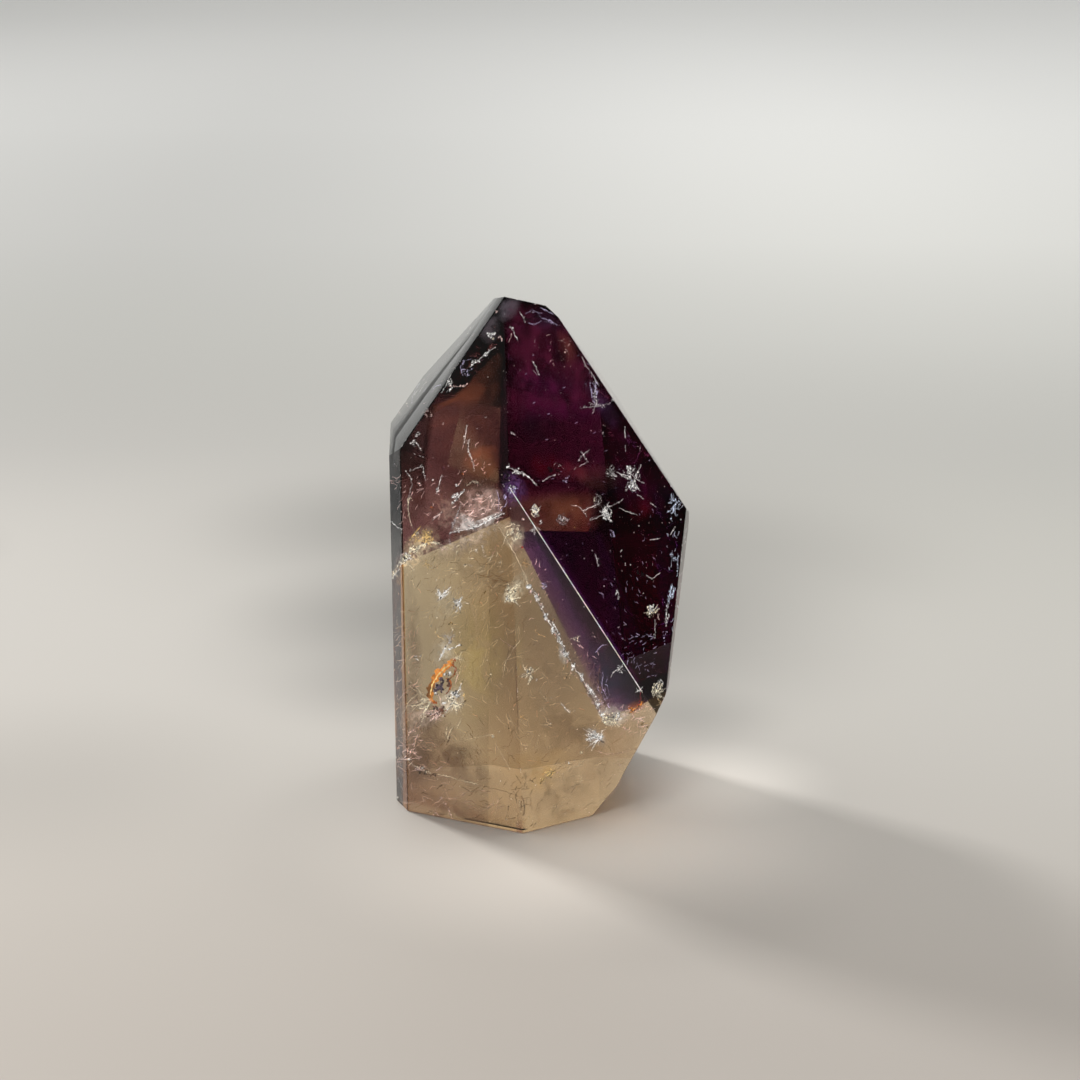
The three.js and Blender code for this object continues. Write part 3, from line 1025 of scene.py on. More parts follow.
# The clear half, down to the foot.
LOWER_FLAKES = {
    "clusters": [
        (513, 591, 9, 9, 50, 1.7, CREAM), (509, 599, 3, 3, 16, 2.0, WHITE), (444, 592, 7, 5, 40, 1.8, WHITE),
        (458, 604, 4, 7, 40, 1.7, WHITE), (436, 618, 2.5, 1.5, 8, 1.5, CREAM),
        (431, 625, 2.5, 1.2, 6, 1.3, CREAM), (453, 626, 2, 6, 12, 1.2, CREAM),
        (452, 640, 5, 5, 16, 1.4, GREY), (448, 674, 4, 2, 24, 2.4, WHITE), (455, 695, 5, 5, 34, 2.6, WHITE),
        (437, 693, 4.5, 2, 16, 1.8, WHITE), (450, 697, 5, 6, 46, 2.0, CREAM),
        (446, 703, 4, 3, 16, 1.8, WHITE), (441, 707, 3, 4, 10, 1.4, PINK), (416, 659, 4, 5, 10, 1.2, WHITE),
        (530, 672, 5, 5, 26, 1.7, CREAM), (528, 672, 2, 1.5, 8, 1.8, WHITE), (535, 680, 2, 2, 8, 1.6, WHITE),
        (551, 697, 1, 1.5, 3, 1.3, WHITE), (551, 724, 1, 1.5, 3, 1.3, WHITE),
        (574, 711, 1, 1, 2, 1.2, WHITE), (595, 737, 8, 7, 50, 1.7, WHITE), (550, 772, 5, 6, 30, 2.0, GOLD),
        (543, 781, 5, 4, 14, 1.6, GOLD), (492, 737, 2, 2, 9, 1.6, CREAM), (499, 734, 1, 2, 4, 1.2, CREAM),
        (569, 762, 1.6, 1.4, 6, 1.6, WHITE), (574, 759, 1.2, 1.4, 4, 1.4, WHITE),
        (581, 753, 1.8, 1.6, 8, 1.7, CREAM), (620, 764, 1.5, 2, 5, 1.2, PINK),
        (408, 733, 9, 7, 34, 1.1, PINK), (396, 757, 1.2, 1.2, 4, 1.6, WHITE),
        (397, 798, 1.6, 1.6, 6, 1.8, WHITE), (410, 762, 6, 4, 10, 1.3, WHITE),
        (423, 768, 2, 1.5, 6, 1.4, WHITE), (506, 819, 1.2, 1.2, 3, 1.2, WHITE),
        (393, 637, 1, 1, 3, 1.4, WHITE), (491, 674, 1.5, 1, 3, 1.1, CREAM), (420, 655, 2, 2, 5, 1.0, WHITE),
    ],
    "threads": [
        (((438, 600), (444, 593), (451, 587)), 2.4, WHITE),
        (((456, 612), (458, 604), (462, 597)), 2.0, WHITE),
        (((439, 661), (443, 652), (447, 645)), 2.6, WHITE),
        (((446, 650), (453, 648), (461, 645)), 2.0, WHITE),
        (((462, 683), (459, 690), (455, 697)), 1.8, WHITE),
        (((443, 716), (452, 704), (462, 692)), 1.5, WHITE),
        (((442, 709), (440, 700), (438, 694)), 1.2, PINK), (((464, 694), (465, 701)), 2.2, GOLD),
        (((561, 703), (565, 708), (570, 713)), 1.6, WHITE),
        (((448, 739), (450, 731), (453, 726)), 1.2, CREAM), (((446, 736), (447, 727)), 1.2, CREAM),
        (((461, 719), (457, 728)), 1.0, CREAM), (((447, 744), (450, 736)), 1.6, BROWN),
        (((456, 742), (470, 739), (494, 734)), 0.7, CREAM),
        (((492, 579), (499, 581), (507, 582)), 0.9, BROWN), (((495, 585), (507, 586)), 0.8, BROWN),
        (((406, 759), (412, 765), (420, 769), (430, 773)), 1.4, CREAM),
        (((413, 768), (420, 772), (428, 775), (437, 774)), 2.6, BROWN),
        (((436, 771), (442, 766)), 1.2, PINK),
        (((437, 774), (450, 777), (464, 781), (480, 785)), 0.8, CREAM),
        (((480, 785), (500, 790), (521, 797)), 0.8, BROWN),
        (((522, 795), (524, 806), (523, 816)), 1.2, BROWN), (((519, 800), (521, 812)), 0.9, CREAM),
        (((540, 783), (550, 774), (560, 767), (570, 761)), 0.9, BROWN),
        (((595, 750), (605, 754), (615, 754), (632, 750)), 0.9, PINK),
        (((632, 750), (640, 748), (648, 746)), 0.7, BROWN),
        (((440, 797), (447, 807), (453, 819)), 1.2, PINK), (((428, 818), (436, 813), (442, 818)), 0.9, PINK),
        (((398, 776), (402, 790), (399, 806)), 0.9, GREY), (((455, 668), (458, 676), (455, 684)), 1.0, PINK),
        (((510, 655), (505, 664), (503, 678)), 0.6, CREAM), (((520, 640), (512, 652)), 0.6, CREAM),
        (((447, 612), (440, 622), (436, 634)), 0.7, CREAM),
        (((398, 700), (404, 694), (409, 690)), 0.8, PINK),
        (((402, 715), (410, 700), (421, 692)), 0.8, CREAM),
        (((496, 745), (505, 760), (510, 770)), 0.6, CREAM), (((540, 692), (548, 702)), 0.6, CREAM),
        (((590, 832), (604, 824), (618, 812)), 1.0, CREAM), (((600, 712), (604, 722)), 1.2, BROWN),
        (((598, 739), (604, 743)), 1.6, BROWN),
    ],
    "fans": [
        (505, 602, 24, 10, 80, 18, 1.5, CREAM), (439, 600, 16, 20, 80, 12, 1.5, WHITE),
        (459, 605, 12, 40, 320, 9, 1.5, WHITE), (530, 673, 14, 150, 380, 14, 1.2, CREAM),
        (604, 737, 24, 140, 225, 18, 1.7, WHITE), (441, 714, 17, 120, 250, 20, 1.3, PINK),
        (432, 700, 30, 150, 240, 24, 1.0, CREAM), (452, 700, 16, 250, 330, 12, 1.4, CREAM),
        (450, 640, 12, 60, 150, 9, 0.9, GREY), (425, 770, 16, 130, 200, 8, 0.8, PINK),
        (550, 772, 8, 0, 360, 9, 1.0, GOLD), (452, 660, 14, 10, 60, 8, 0.8, CREAM),
    ],
    "scratches": [
        (405, 690, 14, 70, 90, 8, 60, 0.8, DULL_PINK), (408, 745, 14, 20, 40, 6, 40, 0.7, PINK),
        (430, 620, 30, 45, 60, 8, 60, 0.6, DULL_CREAM), (480, 620, 45, 50, 80, 12, 60, 0.55, DULL_CREAM),
        (500, 690, 50, 60, 80, 12, 110, 0.55, DULL_CREAM), (560, 700, 40, 50, 60, 9, 40, 0.55, DULL_CREAM),
        (470, 800, 60, 22, 46, 8, 20, 0.6, DULL_BROWN), (590, 790, 40, 30, 50, 8, 40, 0.6, DULL_CREAM),
        (525, 800, 10, 26, 26, 6, 80, 0.8, DULL_BROWN), (540, 590, 10, 30, 16, 5, 60, 0.6, PINK),
        (450, 745, 30, 20, 30, 6, 100, 0.7, DULL_BROWN), (480, 760, 34, 12, 30, 7, 150, 0.6, DULL_BROWN),
        (470, 575, 45, 22, 60, 9, 50, 0.6, DULL_CREAM), (495, 580, 14, 8, 16, 10, 170, 0.7, DULL_BROWN),
        (500, 640, 60, 80, 50, 14, 70, 0.5, DULL_BROWN), (560, 770, 60, 40, 40, 12, 35, 0.5, DULL_BROWN),
        (450, 800, 50, 14, 30, 12, 10, 0.6, DULL_PINK), (425, 770, 26, 30, 40, 10, 150, 0.6, DULL_PINK),
    ],
}
make_marks("lower_flakes", LOWER_FLAKES, seed=16, material=FLAKE)

# The small rusty seam low on the left, with dark crumbs in its bend.
RUSTY_SEAM = {
    "blades": [
        (((453, 660), (447, 666), (440, 672), (434, 679), (431, 687), (429, 696), (433, 702)),
         10.0, ORANGE, 0, 0.3, 0.1 * MM),
        (((452, 663), (446, 669), (439, 675), (434, 682), (432, 690), (432, 699)),
         6.0, ORANGE, 0, 0.3, 0.09 * MM),
        (((450, 664), (444, 669), (437, 676), (432, 685), (430, 695)), 2.0, GOLD, 0, 0.3, 0.06 * MM),
        (((455, 658), (452, 663), (448, 668)), 7.0, RUST, 0, 0.3, 0.11 * MM),
        (((430, 698), (433, 702), (437, 703)), 6.0, RUST, 0, 0.3, 0.11 * MM),
        (((449, 664), (456, 668), (455, 674), (450, 679)), 2.6, RUST, 0, 0.3, 0.08 * MM),
        (((446, 678), (451, 682), (450, 689), (446, 694)), 3.0, RUST, 0, 0.3, 0.08 * MM),
    ],
    "clusters": [
        (441, 684, 5, 6, 26, 3.6, (0.12, 0.08, 0.12)), (448, 683, 4, 5, 16, 3.0, (0.20, 0.08, 0.05)),
        (437, 691, 4, 4, 14, 2.6, (0.10, 0.06, 0.10)), (444, 690, 4, 4, 12, 2.4, (0.08, 0.05, 0.08)),
        (436, 712, 8, 6, 20, 2.2, (0.16, 0.05, 0.03)), (428, 716, 6, 4, 12, 2.0, (0.22, 0.10, 0.06)),
        (451, 662, 3, 4, 12, 2.0, GOLD),
    ],
    "fans": [
        (444, 706, 16, 195, 260, 12, 1.8, (0.20, 0.07, 0.04)),
    ],
}
make_marks("rusty_seam", RUSTY_SEAM, seed=17, material=FLAKE)

# Soft tones in the two faces of the tip, at the dark bottom of the wedge and in the foot on the right.
TIP_CLOUDS = {
    "clouds": [
        (((508, 772), (560, 768), (612, 756), (598, 800), (560, 828), (510, 834)),
         (0.17, 0.11, 0.05), 0.36, 0.9),
        (((428, 398), (470, 390), (503, 394), (503, 420), (460, 424), (430, 416)),
         (0.12, 0.035, 0.02), 0.40, 0.9),
        (((436, 400), (470, 394), (503, 396), (503, 414), (470, 416), (438, 415)),
         (0.11, 0.035, 0.025), 0.55, 1.0),
        (((508, 394), (560, 392), (608, 398), (606, 424), (550, 422), (508, 418)),
         (0.09, 0.0, 0.045), 0.45, 0.9),
        (((596, 640), (620, 650), (637, 690), (634, 713), (606, 708), (598, 680)),
         (0.02, 0.02, 0.05), 0.5, 0.7),
        (((504, 304), (535, 303), (562, 322), (590, 362), (612, 402), (570, 418), (503, 420), (504, 360)),
         (0.17, 0.012, 0.055), 0.45, 0.3),
        (((505, 372), (545, 365), (590, 385), (575, 400), (525, 402)), (0.10, 0.0, 0.10), 0.22, 0.8),
        (((556, 330), (570, 336), (580, 355), (572, 368), (560, 358)), (0.36, 0.10, 0.05), 0.35, 0.8),
        (((582, 380), (600, 385), (622, 420), (612, 430), (592, 405)), (0.16, 0.06, 0.20), 0.35, 0.8),
        (((606, 408), (640, 450), (666, 505), (650, 515), (616, 500)), (0.15, 0.0, 0.06), 0.26, 0.8),
        (((528, 455), (556, 452), (572, 466), (556, 478), (530, 476)), (0.20, 0.0, 0.01), 0.32, 0.9),
        (((630, 498), (650, 494), (656, 512), (640, 524), (628, 514)), (0.18, 0.0, 0.01), 0.32, 0.9),
        (((575, 470), (610, 462), (625, 480), (606, 492), (580, 486)), (0.22, 0.08, 0.06), 0.22, 0.9),
        (((501, 352), (499, 398), (470, 408), (425, 408), (426, 418), (464, 385)),
         (0.23, 0.06, 0.025), 0.52, 0.5),
        (((499, 398), (498, 450), (495, 474), (445, 472), (428, 440), (424, 408), (470, 404)),
         (0.26, 0.08, 0.05), 0.22, 0.5),
        (((498, 446), (498, 476), (478, 480), (460, 470), (462, 454), (478, 446)),
         (0.62, 0.18, 0.07), 0.42, 0.6),
        (((398, 440), (410, 430), (416, 450), (410, 478), (399, 480)), (0.02, 0.0, 0.0), 0.75, 0.6),
        (((398, 482), (420, 478), (430, 500), (418, 526), (399, 530)), (0.10, 0.03, 0.02), 0.55, 0.8),
        (((497, 305), (507, 298), (522, 300), (515, 318), (500, 322)), (0.36, 0.30, 0.36), 0.40, 0.6),
        (((484, 318), (498, 310), (500, 335), (488, 345), (478, 335)), (0.30, 0.24, 0.28), 0.28, 0.9),
        (((514, 402), (545, 402), (562, 425), (540, 445), (513, 440)), (0.012, 0.0, 0.008), 0.55, 0.9),
        (((598, 462), (622, 465), (628, 494), (604, 496)), (0.012, 0.0, 0.008), 0.45, 0.9),
        (((532, 308), (556, 314), (562, 330), (542, 334), (526, 322)), (0.03, 0.01, 0.04), 0.60, 0.8),
        (((525, 497), (560, 490), (600, 494), (608, 512), (596, 530), (545, 530), (531, 515)),
         (0.34, 0.12, 0.06), 0.24, 0.9),
        (((548, 462), (590, 460), (606, 470), (590, 482), (556, 480)), (0.26, 0.03, 0.05), 0.30, 0.9),
    ],
}
make_marks("tip_clouds", TIP_CLOUDS, seed=18, material=SOFT_CLOUD)

# Wisps round the heart, along the pale arc and beside the rusty seam.
VEILS = {
    "clouds": [
        (((462, 491), (480, 483), (500, 487), (506, 512), (480, 526), (455, 531), (456, 508)),
         (0.66, 0.42, 0.36), 0.60, 0.85),
        (((470, 492), (498, 488), (503, 505), (486, 520), (464, 518)),
         (0.95, 0.78, 0.70), 0.55, 0.9, 0.3 * MM),
        (((458, 512), (480, 520), (504, 510), (494, 524), (468, 532), (452, 530)),
         (0.95, 0.88, 0.84), 0.75, 0.7, 0.06 * MM),
        (((440, 500), (458, 494), (462, 520), (448, 538), (436, 522)), (0.60, 0.42, 0.34), 0.45, 0.9),
        (((437, 525), (441, 545), (418, 549), (398, 572), (392, 566), (402, 545), (418, 528)),
         (0.85, 0.68, 0.45), 0.70, 0.7),
        (((396, 586), (398, 566), (414, 550), (436, 544), (440, 556), (420, 564), (404, 580)),
         (0.80, 0.64, 0.42), 0.60, 0.9),
        (((436, 556), (438, 543), (470, 531), (498, 519), (504, 527), (474, 545), (450, 555)),
         (0.78, 0.66, 0.54), 0.55, 0.9),
        (((428, 558), (440, 546), (474, 532), (504, 518), (508, 534), (476, 552), (444, 564)),
         (0.52, 0.40, 0.29), 0.60, 0.9),
        (((396, 572), (404, 556), (420, 545), (440, 544), (436, 554), (416, 562)),
         (0.82, 0.70, 0.50), 0.80, 0.8),
        (((430, 480), (456, 485), (455, 520), (440, 535), (420, 520)), (0.38, 0.20, 0.15), 0.35, 0.9),
        (((505, 470), (525, 480), (528, 500), (508, 508), (500, 490)), (0.30, 0.14, 0.42), 0.45, 0.8),
        (((400, 690), (425, 700), (430, 725), (410, 750), (398, 740)), (0.62, 0.48, 0.38), 0.40, 0.9),
        (((440, 690), (460, 686), (466, 700), (454, 714), (438, 712)), (0.95, 0.84, 0.70), 0.65, 0.8),
        (((418, 706), (442, 708), (446, 720), (424, 730), (410, 722)), (0.80, 0.62, 0.50), 0.55, 0.9),
        (((434, 640), (452, 630), (460, 650), (446, 672), (430, 664)), (0.66, 0.60, 0.48), 0.50, 0.9),
        (((432, 590), (456, 588), (466, 606), (452, 622), (430, 616)), (0.62, 0.56, 0.42), 0.35, 0.9),
        (((588, 636), (614, 652), (636, 688), (624, 706), (598, 702), (588, 672)),
         (0.015, 0.015, 0.035), 0.80, 0.7),
        (((600, 694), (632, 692), (640, 702), (612, 710)), (0.12, 0.06, 0.12), 0.45, 0.7),
        (((600, 706), (625, 703), (632, 716), (616, 728), (602, 722)), (0.80, 0.72, 0.62), 0.70, 0.8),
        (((625, 706), (640, 698), (648, 704), (638, 714), (628, 714)), (0.72, 0.22, 0.10), 0.60, 0.8),
        (((503, 520), (522, 522), (526, 542), (514, 552), (502, 540)), (0.90, 0.74, 0.54), 0.70, 0.8),
        (((500, 598), (512, 578), (528, 570), (528, 590), (510, 606)), (0.92, 0.80, 0.58), 0.65, 0.8),
        (((558, 644), (567, 646), (567, 664), (560, 662)), (0.60, 0.58, 0.54), 0.55, 0.8),
        (((586, 726), (604, 732), (606, 746), (592, 744)), (0.90, 0.86, 0.80), 0.45, 0.8),
    ],
}
make_marks("veils", VEILS, seed=19, material=WISPY_VEIL)

# Smoky wisps deep in the clear half and close to its foot.
SMOKY_CLOUDS = {
    "clouds": [
        (((398, 680), (420, 690), (470, 740), (520, 790), (470, 796), (420, 785), (400, 770)),
         (0.16, 0.08, 0.04), 0.42, 0.8, 2.5 * MM),
        (((400, 722), (416, 720), (430, 760), (425, 800), (402, 800)),
         (0.26, 0.14, 0.09), 0.42, 0.9, 0.5 * MM),
        (((402, 788), (440, 790), (480, 806), (515, 828), (450, 838), (406, 822)),
         (0.28, 0.14, 0.08), 0.42, 0.8, 0.4 * MM),
        (((406, 570), (418, 600), (424, 680), (416, 740), (408, 700)),
         (0.22, 0.14, 0.09), 0.30, 0.8, 1.2 * MM),
        (((452, 600), (490, 590), (508, 640), (498, 720), (460, 730), (445, 660)),
         (0.66, 0.56, 0.20), 0.30, 0.9, 5 * MM),
        (((525, 690), (590, 715), (650, 722), (610, 765), (535, 760)),
         (0.18, 0.10, 0.05), 0.30, 0.9, 3 * MM),
        (((500, 762), (540, 748), (572, 752), (555, 788), (522, 795)),
         (0.80, 0.48, 0.10), 0.34, 0.9, 1.5 * MM),
        (((425, 548), (470, 540), (505, 530), (512, 580), (470, 600), (420, 590)),
         (0.44, 0.34, 0.22), 0.26, 0.9, 1.0 * MM),
        (((600, 720), (655, 712), (640, 750), (600, 790), (560, 800)),
         (0.55, 0.36, 0.20), 0.22, 0.9, 1.2 * MM),
        (((524, 590), (560, 640), (585, 700), (560, 730), (530, 700), (522, 640)),
         (0.30, 0.20, 0.12), 0.25, 0.9, 1.5 * MM),
        (((528, 800), (580, 790), (620, 800), (590, 835), (530, 845)),
         (0.42, 0.26, 0.13), 0.28, 0.9, 0.5 * MM),
    ],
}
make_marks("smoky_clouds", SMOKY_CLOUDS, seed=20, material=SOFT_CLOUD)

# --- the edges: a painted glint along the broad one, and chips on every edge --------------------------
# The glint line: a painted highlight along the broad edge, drawn as a slim glowing white strip.
GLINT_LINE_SHARE = 0.9
GLINT_LINE_WIDTH = 0.15 * MM
GLINT_LINE_UNEVENNESS = (0.7, 1.2)
GLINT_LINE_STEPS = 60
GLINT_LINE_DEPTH = 0.03 * MM
GLINT_LINE_RISE = 0.025 * MM
# The chipped stars on the broad edge, as (x, y, reach), and the two strokes that run off one, in pixels.
# The stars are real chips whose brightness is a painted glint.
STARS = ((534, 529, 7), (620, 669, 7), (639, 690, 5))
STAR_HEART = 2.4
STAR_STROKES = ((((620, 669), (613, 672)), 2.6), (((613, 672), (611, 677)), 2.0))
CHIP_SPACING = 1.6 * MM
BARE_SHARE = 0.45
CHIP_DEPTH = (0.05 * MM, 0.09 * MM)
CHIP_LENGTH = (0.04 * MM, 0.22 * MM)
CHIP_WIDTH = (0.02 * MM, 0.06 * MM)
CHIP_BEARINGS = (0.2, 1.3, 2.6, 3.6, 4.9)
FOOT_EDGE_HEIGHT = 0.5 * MM
CHIP_LEAST_HEIGHT = 0.4 * MM


def broad_edge():
    """The long edge between the two faces on the right of the front, with its top end and its foot."""
    facets = {facet_at(*RIGHT_TIP), facet_at(*RIGHT_FRONT)}
    edge = next(edge for edge in STONE.edges if set(edge.link_faces) == facets)
    top, foot = sorted((corner.co.copy() for corner in edge.verts), key=lambda place: -place.z)
    return edge, top, foot


def outward_of(edge):
    """The way that an edge of the stone points."""
    return sum((facet.normal for facet in edge.link_faces), Vector()).normalized()


def add_edge_line(shape, dice, edge, top, foot, tint):
    """A painted highlight along an edge: a slim closed blade on the eased corner, in a glowing white for the
    light that the edge catches.
    """
    outward = outward_of(edge)
    along = (foot - top).normalized()
    side = along.cross(outward).normalized()
    rings = []
    for i in range(GLINT_LINE_STEPS + 1):
        place = top.lerp(foot, i / GLINT_LINE_STEPS) - outward * GLINT_LINE_DEPTH
        half = GLINT_LINE_WIDTH / 2 * dice.uniform(*GLINT_LINE_UNEVENNESS) * (0.3 if i in (0, GLINT_LINE_STEPS) else 1)
        light = tuple(part * dice.uniform(0.75, 1.0) for part in tint)
        offsets = (side * half, outward * GLINT_LINE_RISE, -side * half, -outward * GLINT_LINE_DEPTH)
        rings.append([add_corner(shape, place + offset, light) for offset in offsets])
    close_blade(shape, rings)


def add_edge_chips(shape, dice, edge):
    """Small chips strewn along an edge just under the polish. The foot's own edge keeps only those above the
    table."""
    first, last = (corner.co for corner in edge.verts)
    outward = outward_of(edge)
    along = (last - first).normalized()
    side = along.cross(outward)
    for _ in range(int(edge.calc_length() / CHIP_SPACING)):
        if dice.random() < BARE_SHARE:
            continue
        place = first.lerp(last, dice.random()) - outward * dice.uniform(*CHIP_DEPTH)
        length = dice.uniform(*CHIP_LENGTH)
        width = dice.uniform(*CHIP_WIDTH)
        rim = []
        for angle in CHIP_BEARINGS:
            aside = math.sin(angle) * width * dice.uniform(0.6, 1.2)
            rim.append(place + along * math.cos(angle) * length + side * aside)
        # A chip's brightness is a painted glint.
        if min(first.z, last.z) > FOOT_EDGE_HEIGHT or place.z > CHIP_LEAST_HEIGHT:
            add_plate(shape, rim, outward, glint(dice, WHITE))


def make_edge_chips_and_glint():
    """The painted glint along the broad face's edge with its three chipped stars, and chips on every edge.
    The chips are real wear; their brightness and glow are painted glints.
    """
    shape = new_shape()
    dice = random.Random(21)
    broad, top, foot = broad_edge()
    add_edge_line(shape, dice, broad, top, top.lerp(foot, GLINT_LINE_SHARE), WHITE)
    for x, y, reach in STARS:
        add_fan(shape, dice, x, y, reach, first=0, last=360, count=7, width=1.6, tint=WHITE)
        add_cluster(shape, dice, x, y, STAR_HEART, STAR_HEART, count=12, size=1.6, tint=WHITE)
    for points, width in STAR_STROKES:
        add_thread(shape, dice, points, width, WHITE)
    for edge in STONE.edges:
        if edge != broad:
            add_edge_chips(shape, dice, edge)
    add_marks_piece("edge_chips_and_glint", shape, edge_glint_material())


make_edge_chips_and_glint()

# --- marks on the other sides -------------------------------------------------------------------------
# Where a turned eye sees the stone in its frame: patches and threads are strewn over these ranges.
PATCHES = 26
PATCH_X = (405, 680)
PATCH_Y = (310, 790)
PATCH_REACH = (2.5, 8)
FAN_SHARE = 0.4
HIGH_ABOVE = 560
THREADS = 20
THREAD_X = (400, 680)
THREAD_Y = (310, 800)
THREAD_BEND = 0.5
THREAD_STRETCH = (4, 10)
SIDE_MIDDLE = (540, 560)
HIGH_TINTS = (WHITE, CREAM, PINK, LILAC, ICE)
LOW_TINTS = (WHITE, CREAM, CREAM, PINK, GREY)
THREAD_TINTS = (WHITE, CREAM, LILAC)


def add_stray_thread(shape, dice, turn):
    """A bent thread anywhere on a side."""
    x = dice.uniform(*THREAD_X)
    y = dice.uniform(*THREAD_Y)
    points = [(x, y)]
    heading = dice.uniform(0, math.tau)
    for _ in range(dice.choice((2, 3, 4))):
        heading += dice.gauss(0, THREAD_BEND)
        x += math.cos(heading) * dice.uniform(*THREAD_STRETCH)
        y += math.sin(heading) * dice.uniform(*THREAD_STRETCH)
        points.append((x, y))
    add_thread(shape, dice, points, dice.uniform(0.9, 1.9), dice.choice(THREAD_TINTS), turn)


def make_side_marks(name, turn, seed):
    """Flakes, fans and fine marks strewn over a side that faces an eye turned that far from the front."""
    shape = new_shape()
    dice = random.Random(seed)
    for _ in range(PATCHES):
        x = dice.uniform(*PATCH_X)
        y = dice.uniform(*PATCH_Y)
        tint = dice.choice(HIGH_TINTS if y < HIGH_ABOVE else LOW_TINTS)
        reach = dice.uniform(*PATCH_REACH)
        flat = reach * dice.uniform(0.5, 1.1)
        add_cluster(shape, dice, x, y, reach, flat, count=int(reach * 4), size=1.7, tint=tint, turn=turn)
        if dice.random() < FAN_SHARE:
            far = reach * 1.7
            add_fan(shape, dice, x, y, far, first=0, last=360, count=9, width=1.1, tint=tint, turn=turn)
    for _ in range(THREADS):
        add_stray_thread(shape, dice, turn)
    add_scratches(
        shape, dice, *SIDE_MIDDLE, reach_x=140, reach_y=240, count=90, length=6, bearing=70, width=0.6,
        tint=PINK, turn=turn)
    add_marks_piece(name, shape, FLAKE)


make_side_marks("right_side_flakes", turn=80, seed=31)
make_side_marks("back_right_flakes", turn=155, seed=32)
make_side_marks("back_left_flakes", turn=205, seed=33)
make_side_marks("left_side_flakes", turn=275, seed=34)


# --- dust of specks -----------------------------------------------------------------------------------
def speck_tree():
    """Geometry Nodes for the dust: tiny grains strewn over the stone's facets and sunk under the polish."""
    tree = bpy.data.node_groups.new("speck_dust", "GeometryNodeTree")
    add_sockets(tree, "INPUT", {
        "Stone": "NodeSocketGeometry",
        "Density": "NodeSocketFloat",
        "Smallest": "NodeSocketFloat",
        "Largest": "NodeSocketFloat",
        "Shallowest": "NodeSocketFloat",
        "Deepest": "NodeSocketFloat",
        "Seed": "NodeSocketInt",
        "Finish": "NodeSocketMaterial",
    })
    add_sockets(tree, "OUTPUT", {"Dust": "NodeSocketGeometry"})
    given = add_node(tree, "NodeGroupInput").outputs
    strew = add_node(tree, "GeometryNodeDistributePointsOnFaces", {
        "Mesh": given["Stone"],
        "Density": given["Density"],
        "Seed": given["Seed"],
    })
    depth = add_node(tree, "FunctionNodeRandomValue", {"Min": given["Shallowest"], "Max": given["Deepest"]})
    inward = add_node(tree, "ShaderNodeVectorMath", {
        "Vector": strew.outputs["Normal"],
        "Scale": times(tree, depth.outputs["Value"], -1.0),
    }, operation="SCALE")
    sunk = add_node(tree, "GeometryNodeSetPosition", {
        "Geometry": strew.outputs["Points"],
        "Offset": inward.outputs["Vector"],
    })
    grain = add_node(tree, "GeometryNodeMeshIcoSphere", {"Radius": 1.0, "Subdivisions": 1})
    girth = add_node(tree, "FunctionNodeRandomValue", {"Min": given["Smallest"], "Max": given["Largest"]})
    spin = add_node(tree, "FunctionNodeRandomValue", {"Max": (math.tau,) * 3}, data_type="FLOAT_VECTOR")
    grains = add_node(tree, "GeometryNodeInstanceOnPoints", {
        "Points": sunk.outputs["Geometry"],
        "Instance": grain.outputs["Mesh"],
        "Scale": girth.outputs["Value"],
        "Rotation": spin.outputs["Value"],
    })
    real = add_node(tree, "GeometryNodeRealizeInstances", {"Geometry": grains.outputs["Instances"]})
    coated = add_node(tree, "GeometryNodeSetMaterial", {
        "Geometry": real.outputs["Geometry"],
        "Material": given["Finish"],
    })
    add_node(tree, "NodeGroupOutput", {"Dust": coated.outputs["Geometry"]})
    return tree


def make_dust():
    """The fine dust of specks all round the stone, as one plain mesh."""
    ground = bpy.data.meshes.new("speck_ground")
    STONE.to_mesh(ground)
    maker = bpy.data.objects.new("speck_maker", ground)
    bpy.context.scene.collection.objects.link(maker)
    modifier = maker.modifiers.new("dust", "NODES")
    modifier.node_group = speck_tree()
    values = {
        "Density": 70000.0,
        "Smallest": 0.022 * MM,
        "Largest": 0.075 * MM,
        "Shallowest": 0.08 * MM,
        "Deepest": 0.19 * MM,
        "Seed": 7,
        "Finish": speck_material(),
    }
    for socket in modifier.node_group.interface.items_tree:
        if socket.name in values:
            modifier[socket.identifier] = values[socket.name]
    graph = bpy.context.evaluated_depsgraph_get()
    mesh = bpy.data.meshes.new_from_object(maker.evaluated_get(graph))
    mesh.name = "speck_dust"
    bpy.data.objects.remove(maker)
    keep_inside(mesh.vertices)
    add_piece("speck_dust", mesh, values["Finish"])


make_dust()

# --- the table, with painted light and shade ----------------------------------------------------------
TABLE_RADIUS = 4.0
TABLE_DROP = 0.08 * MM
TONE_SIDE = 0.14
# The table's tones are the light's falloff, painted into its colour.
TABLE_PAINTED_FALLOFF = (
    # how far behind the stone (Y in metres), painted tone on the left, painted tone on the right
    (-0.09, (0.560, 0.500, 0.440), (0.500, 0.450, 0.405)),
    (-0.02, (0.600, 0.550, 0.490), (0.600, 0.570, 0.525)),
    (0.05, (0.600, 0.565, 0.520), (0.600, 0.575, 0.530)),
    (0.14, (0.570, 0.540, 0.497), (0.550, 0.535, 0.490)),
    (0.22, (0.400, 0.385, 0.360), (0.470, 0.460, 0.430)),
    (0.34, (0.385, 0.380, 0.352), (0.565, 0.560, 0.527)),
    (0.50, (0.400, 0.395, 0.378), (0.690, 0.685, 0.652)),
    (0.80, (0.480, 0.477, 0.460), (0.850, 0.848, 0.825)),
    (1.20, (0.860, 0.855, 0.835), (0.990, 0.988, 0.970)),
    (1.70, (0.960, 0.955, 0.935), (1.000, 0.998, 0.980)),
)
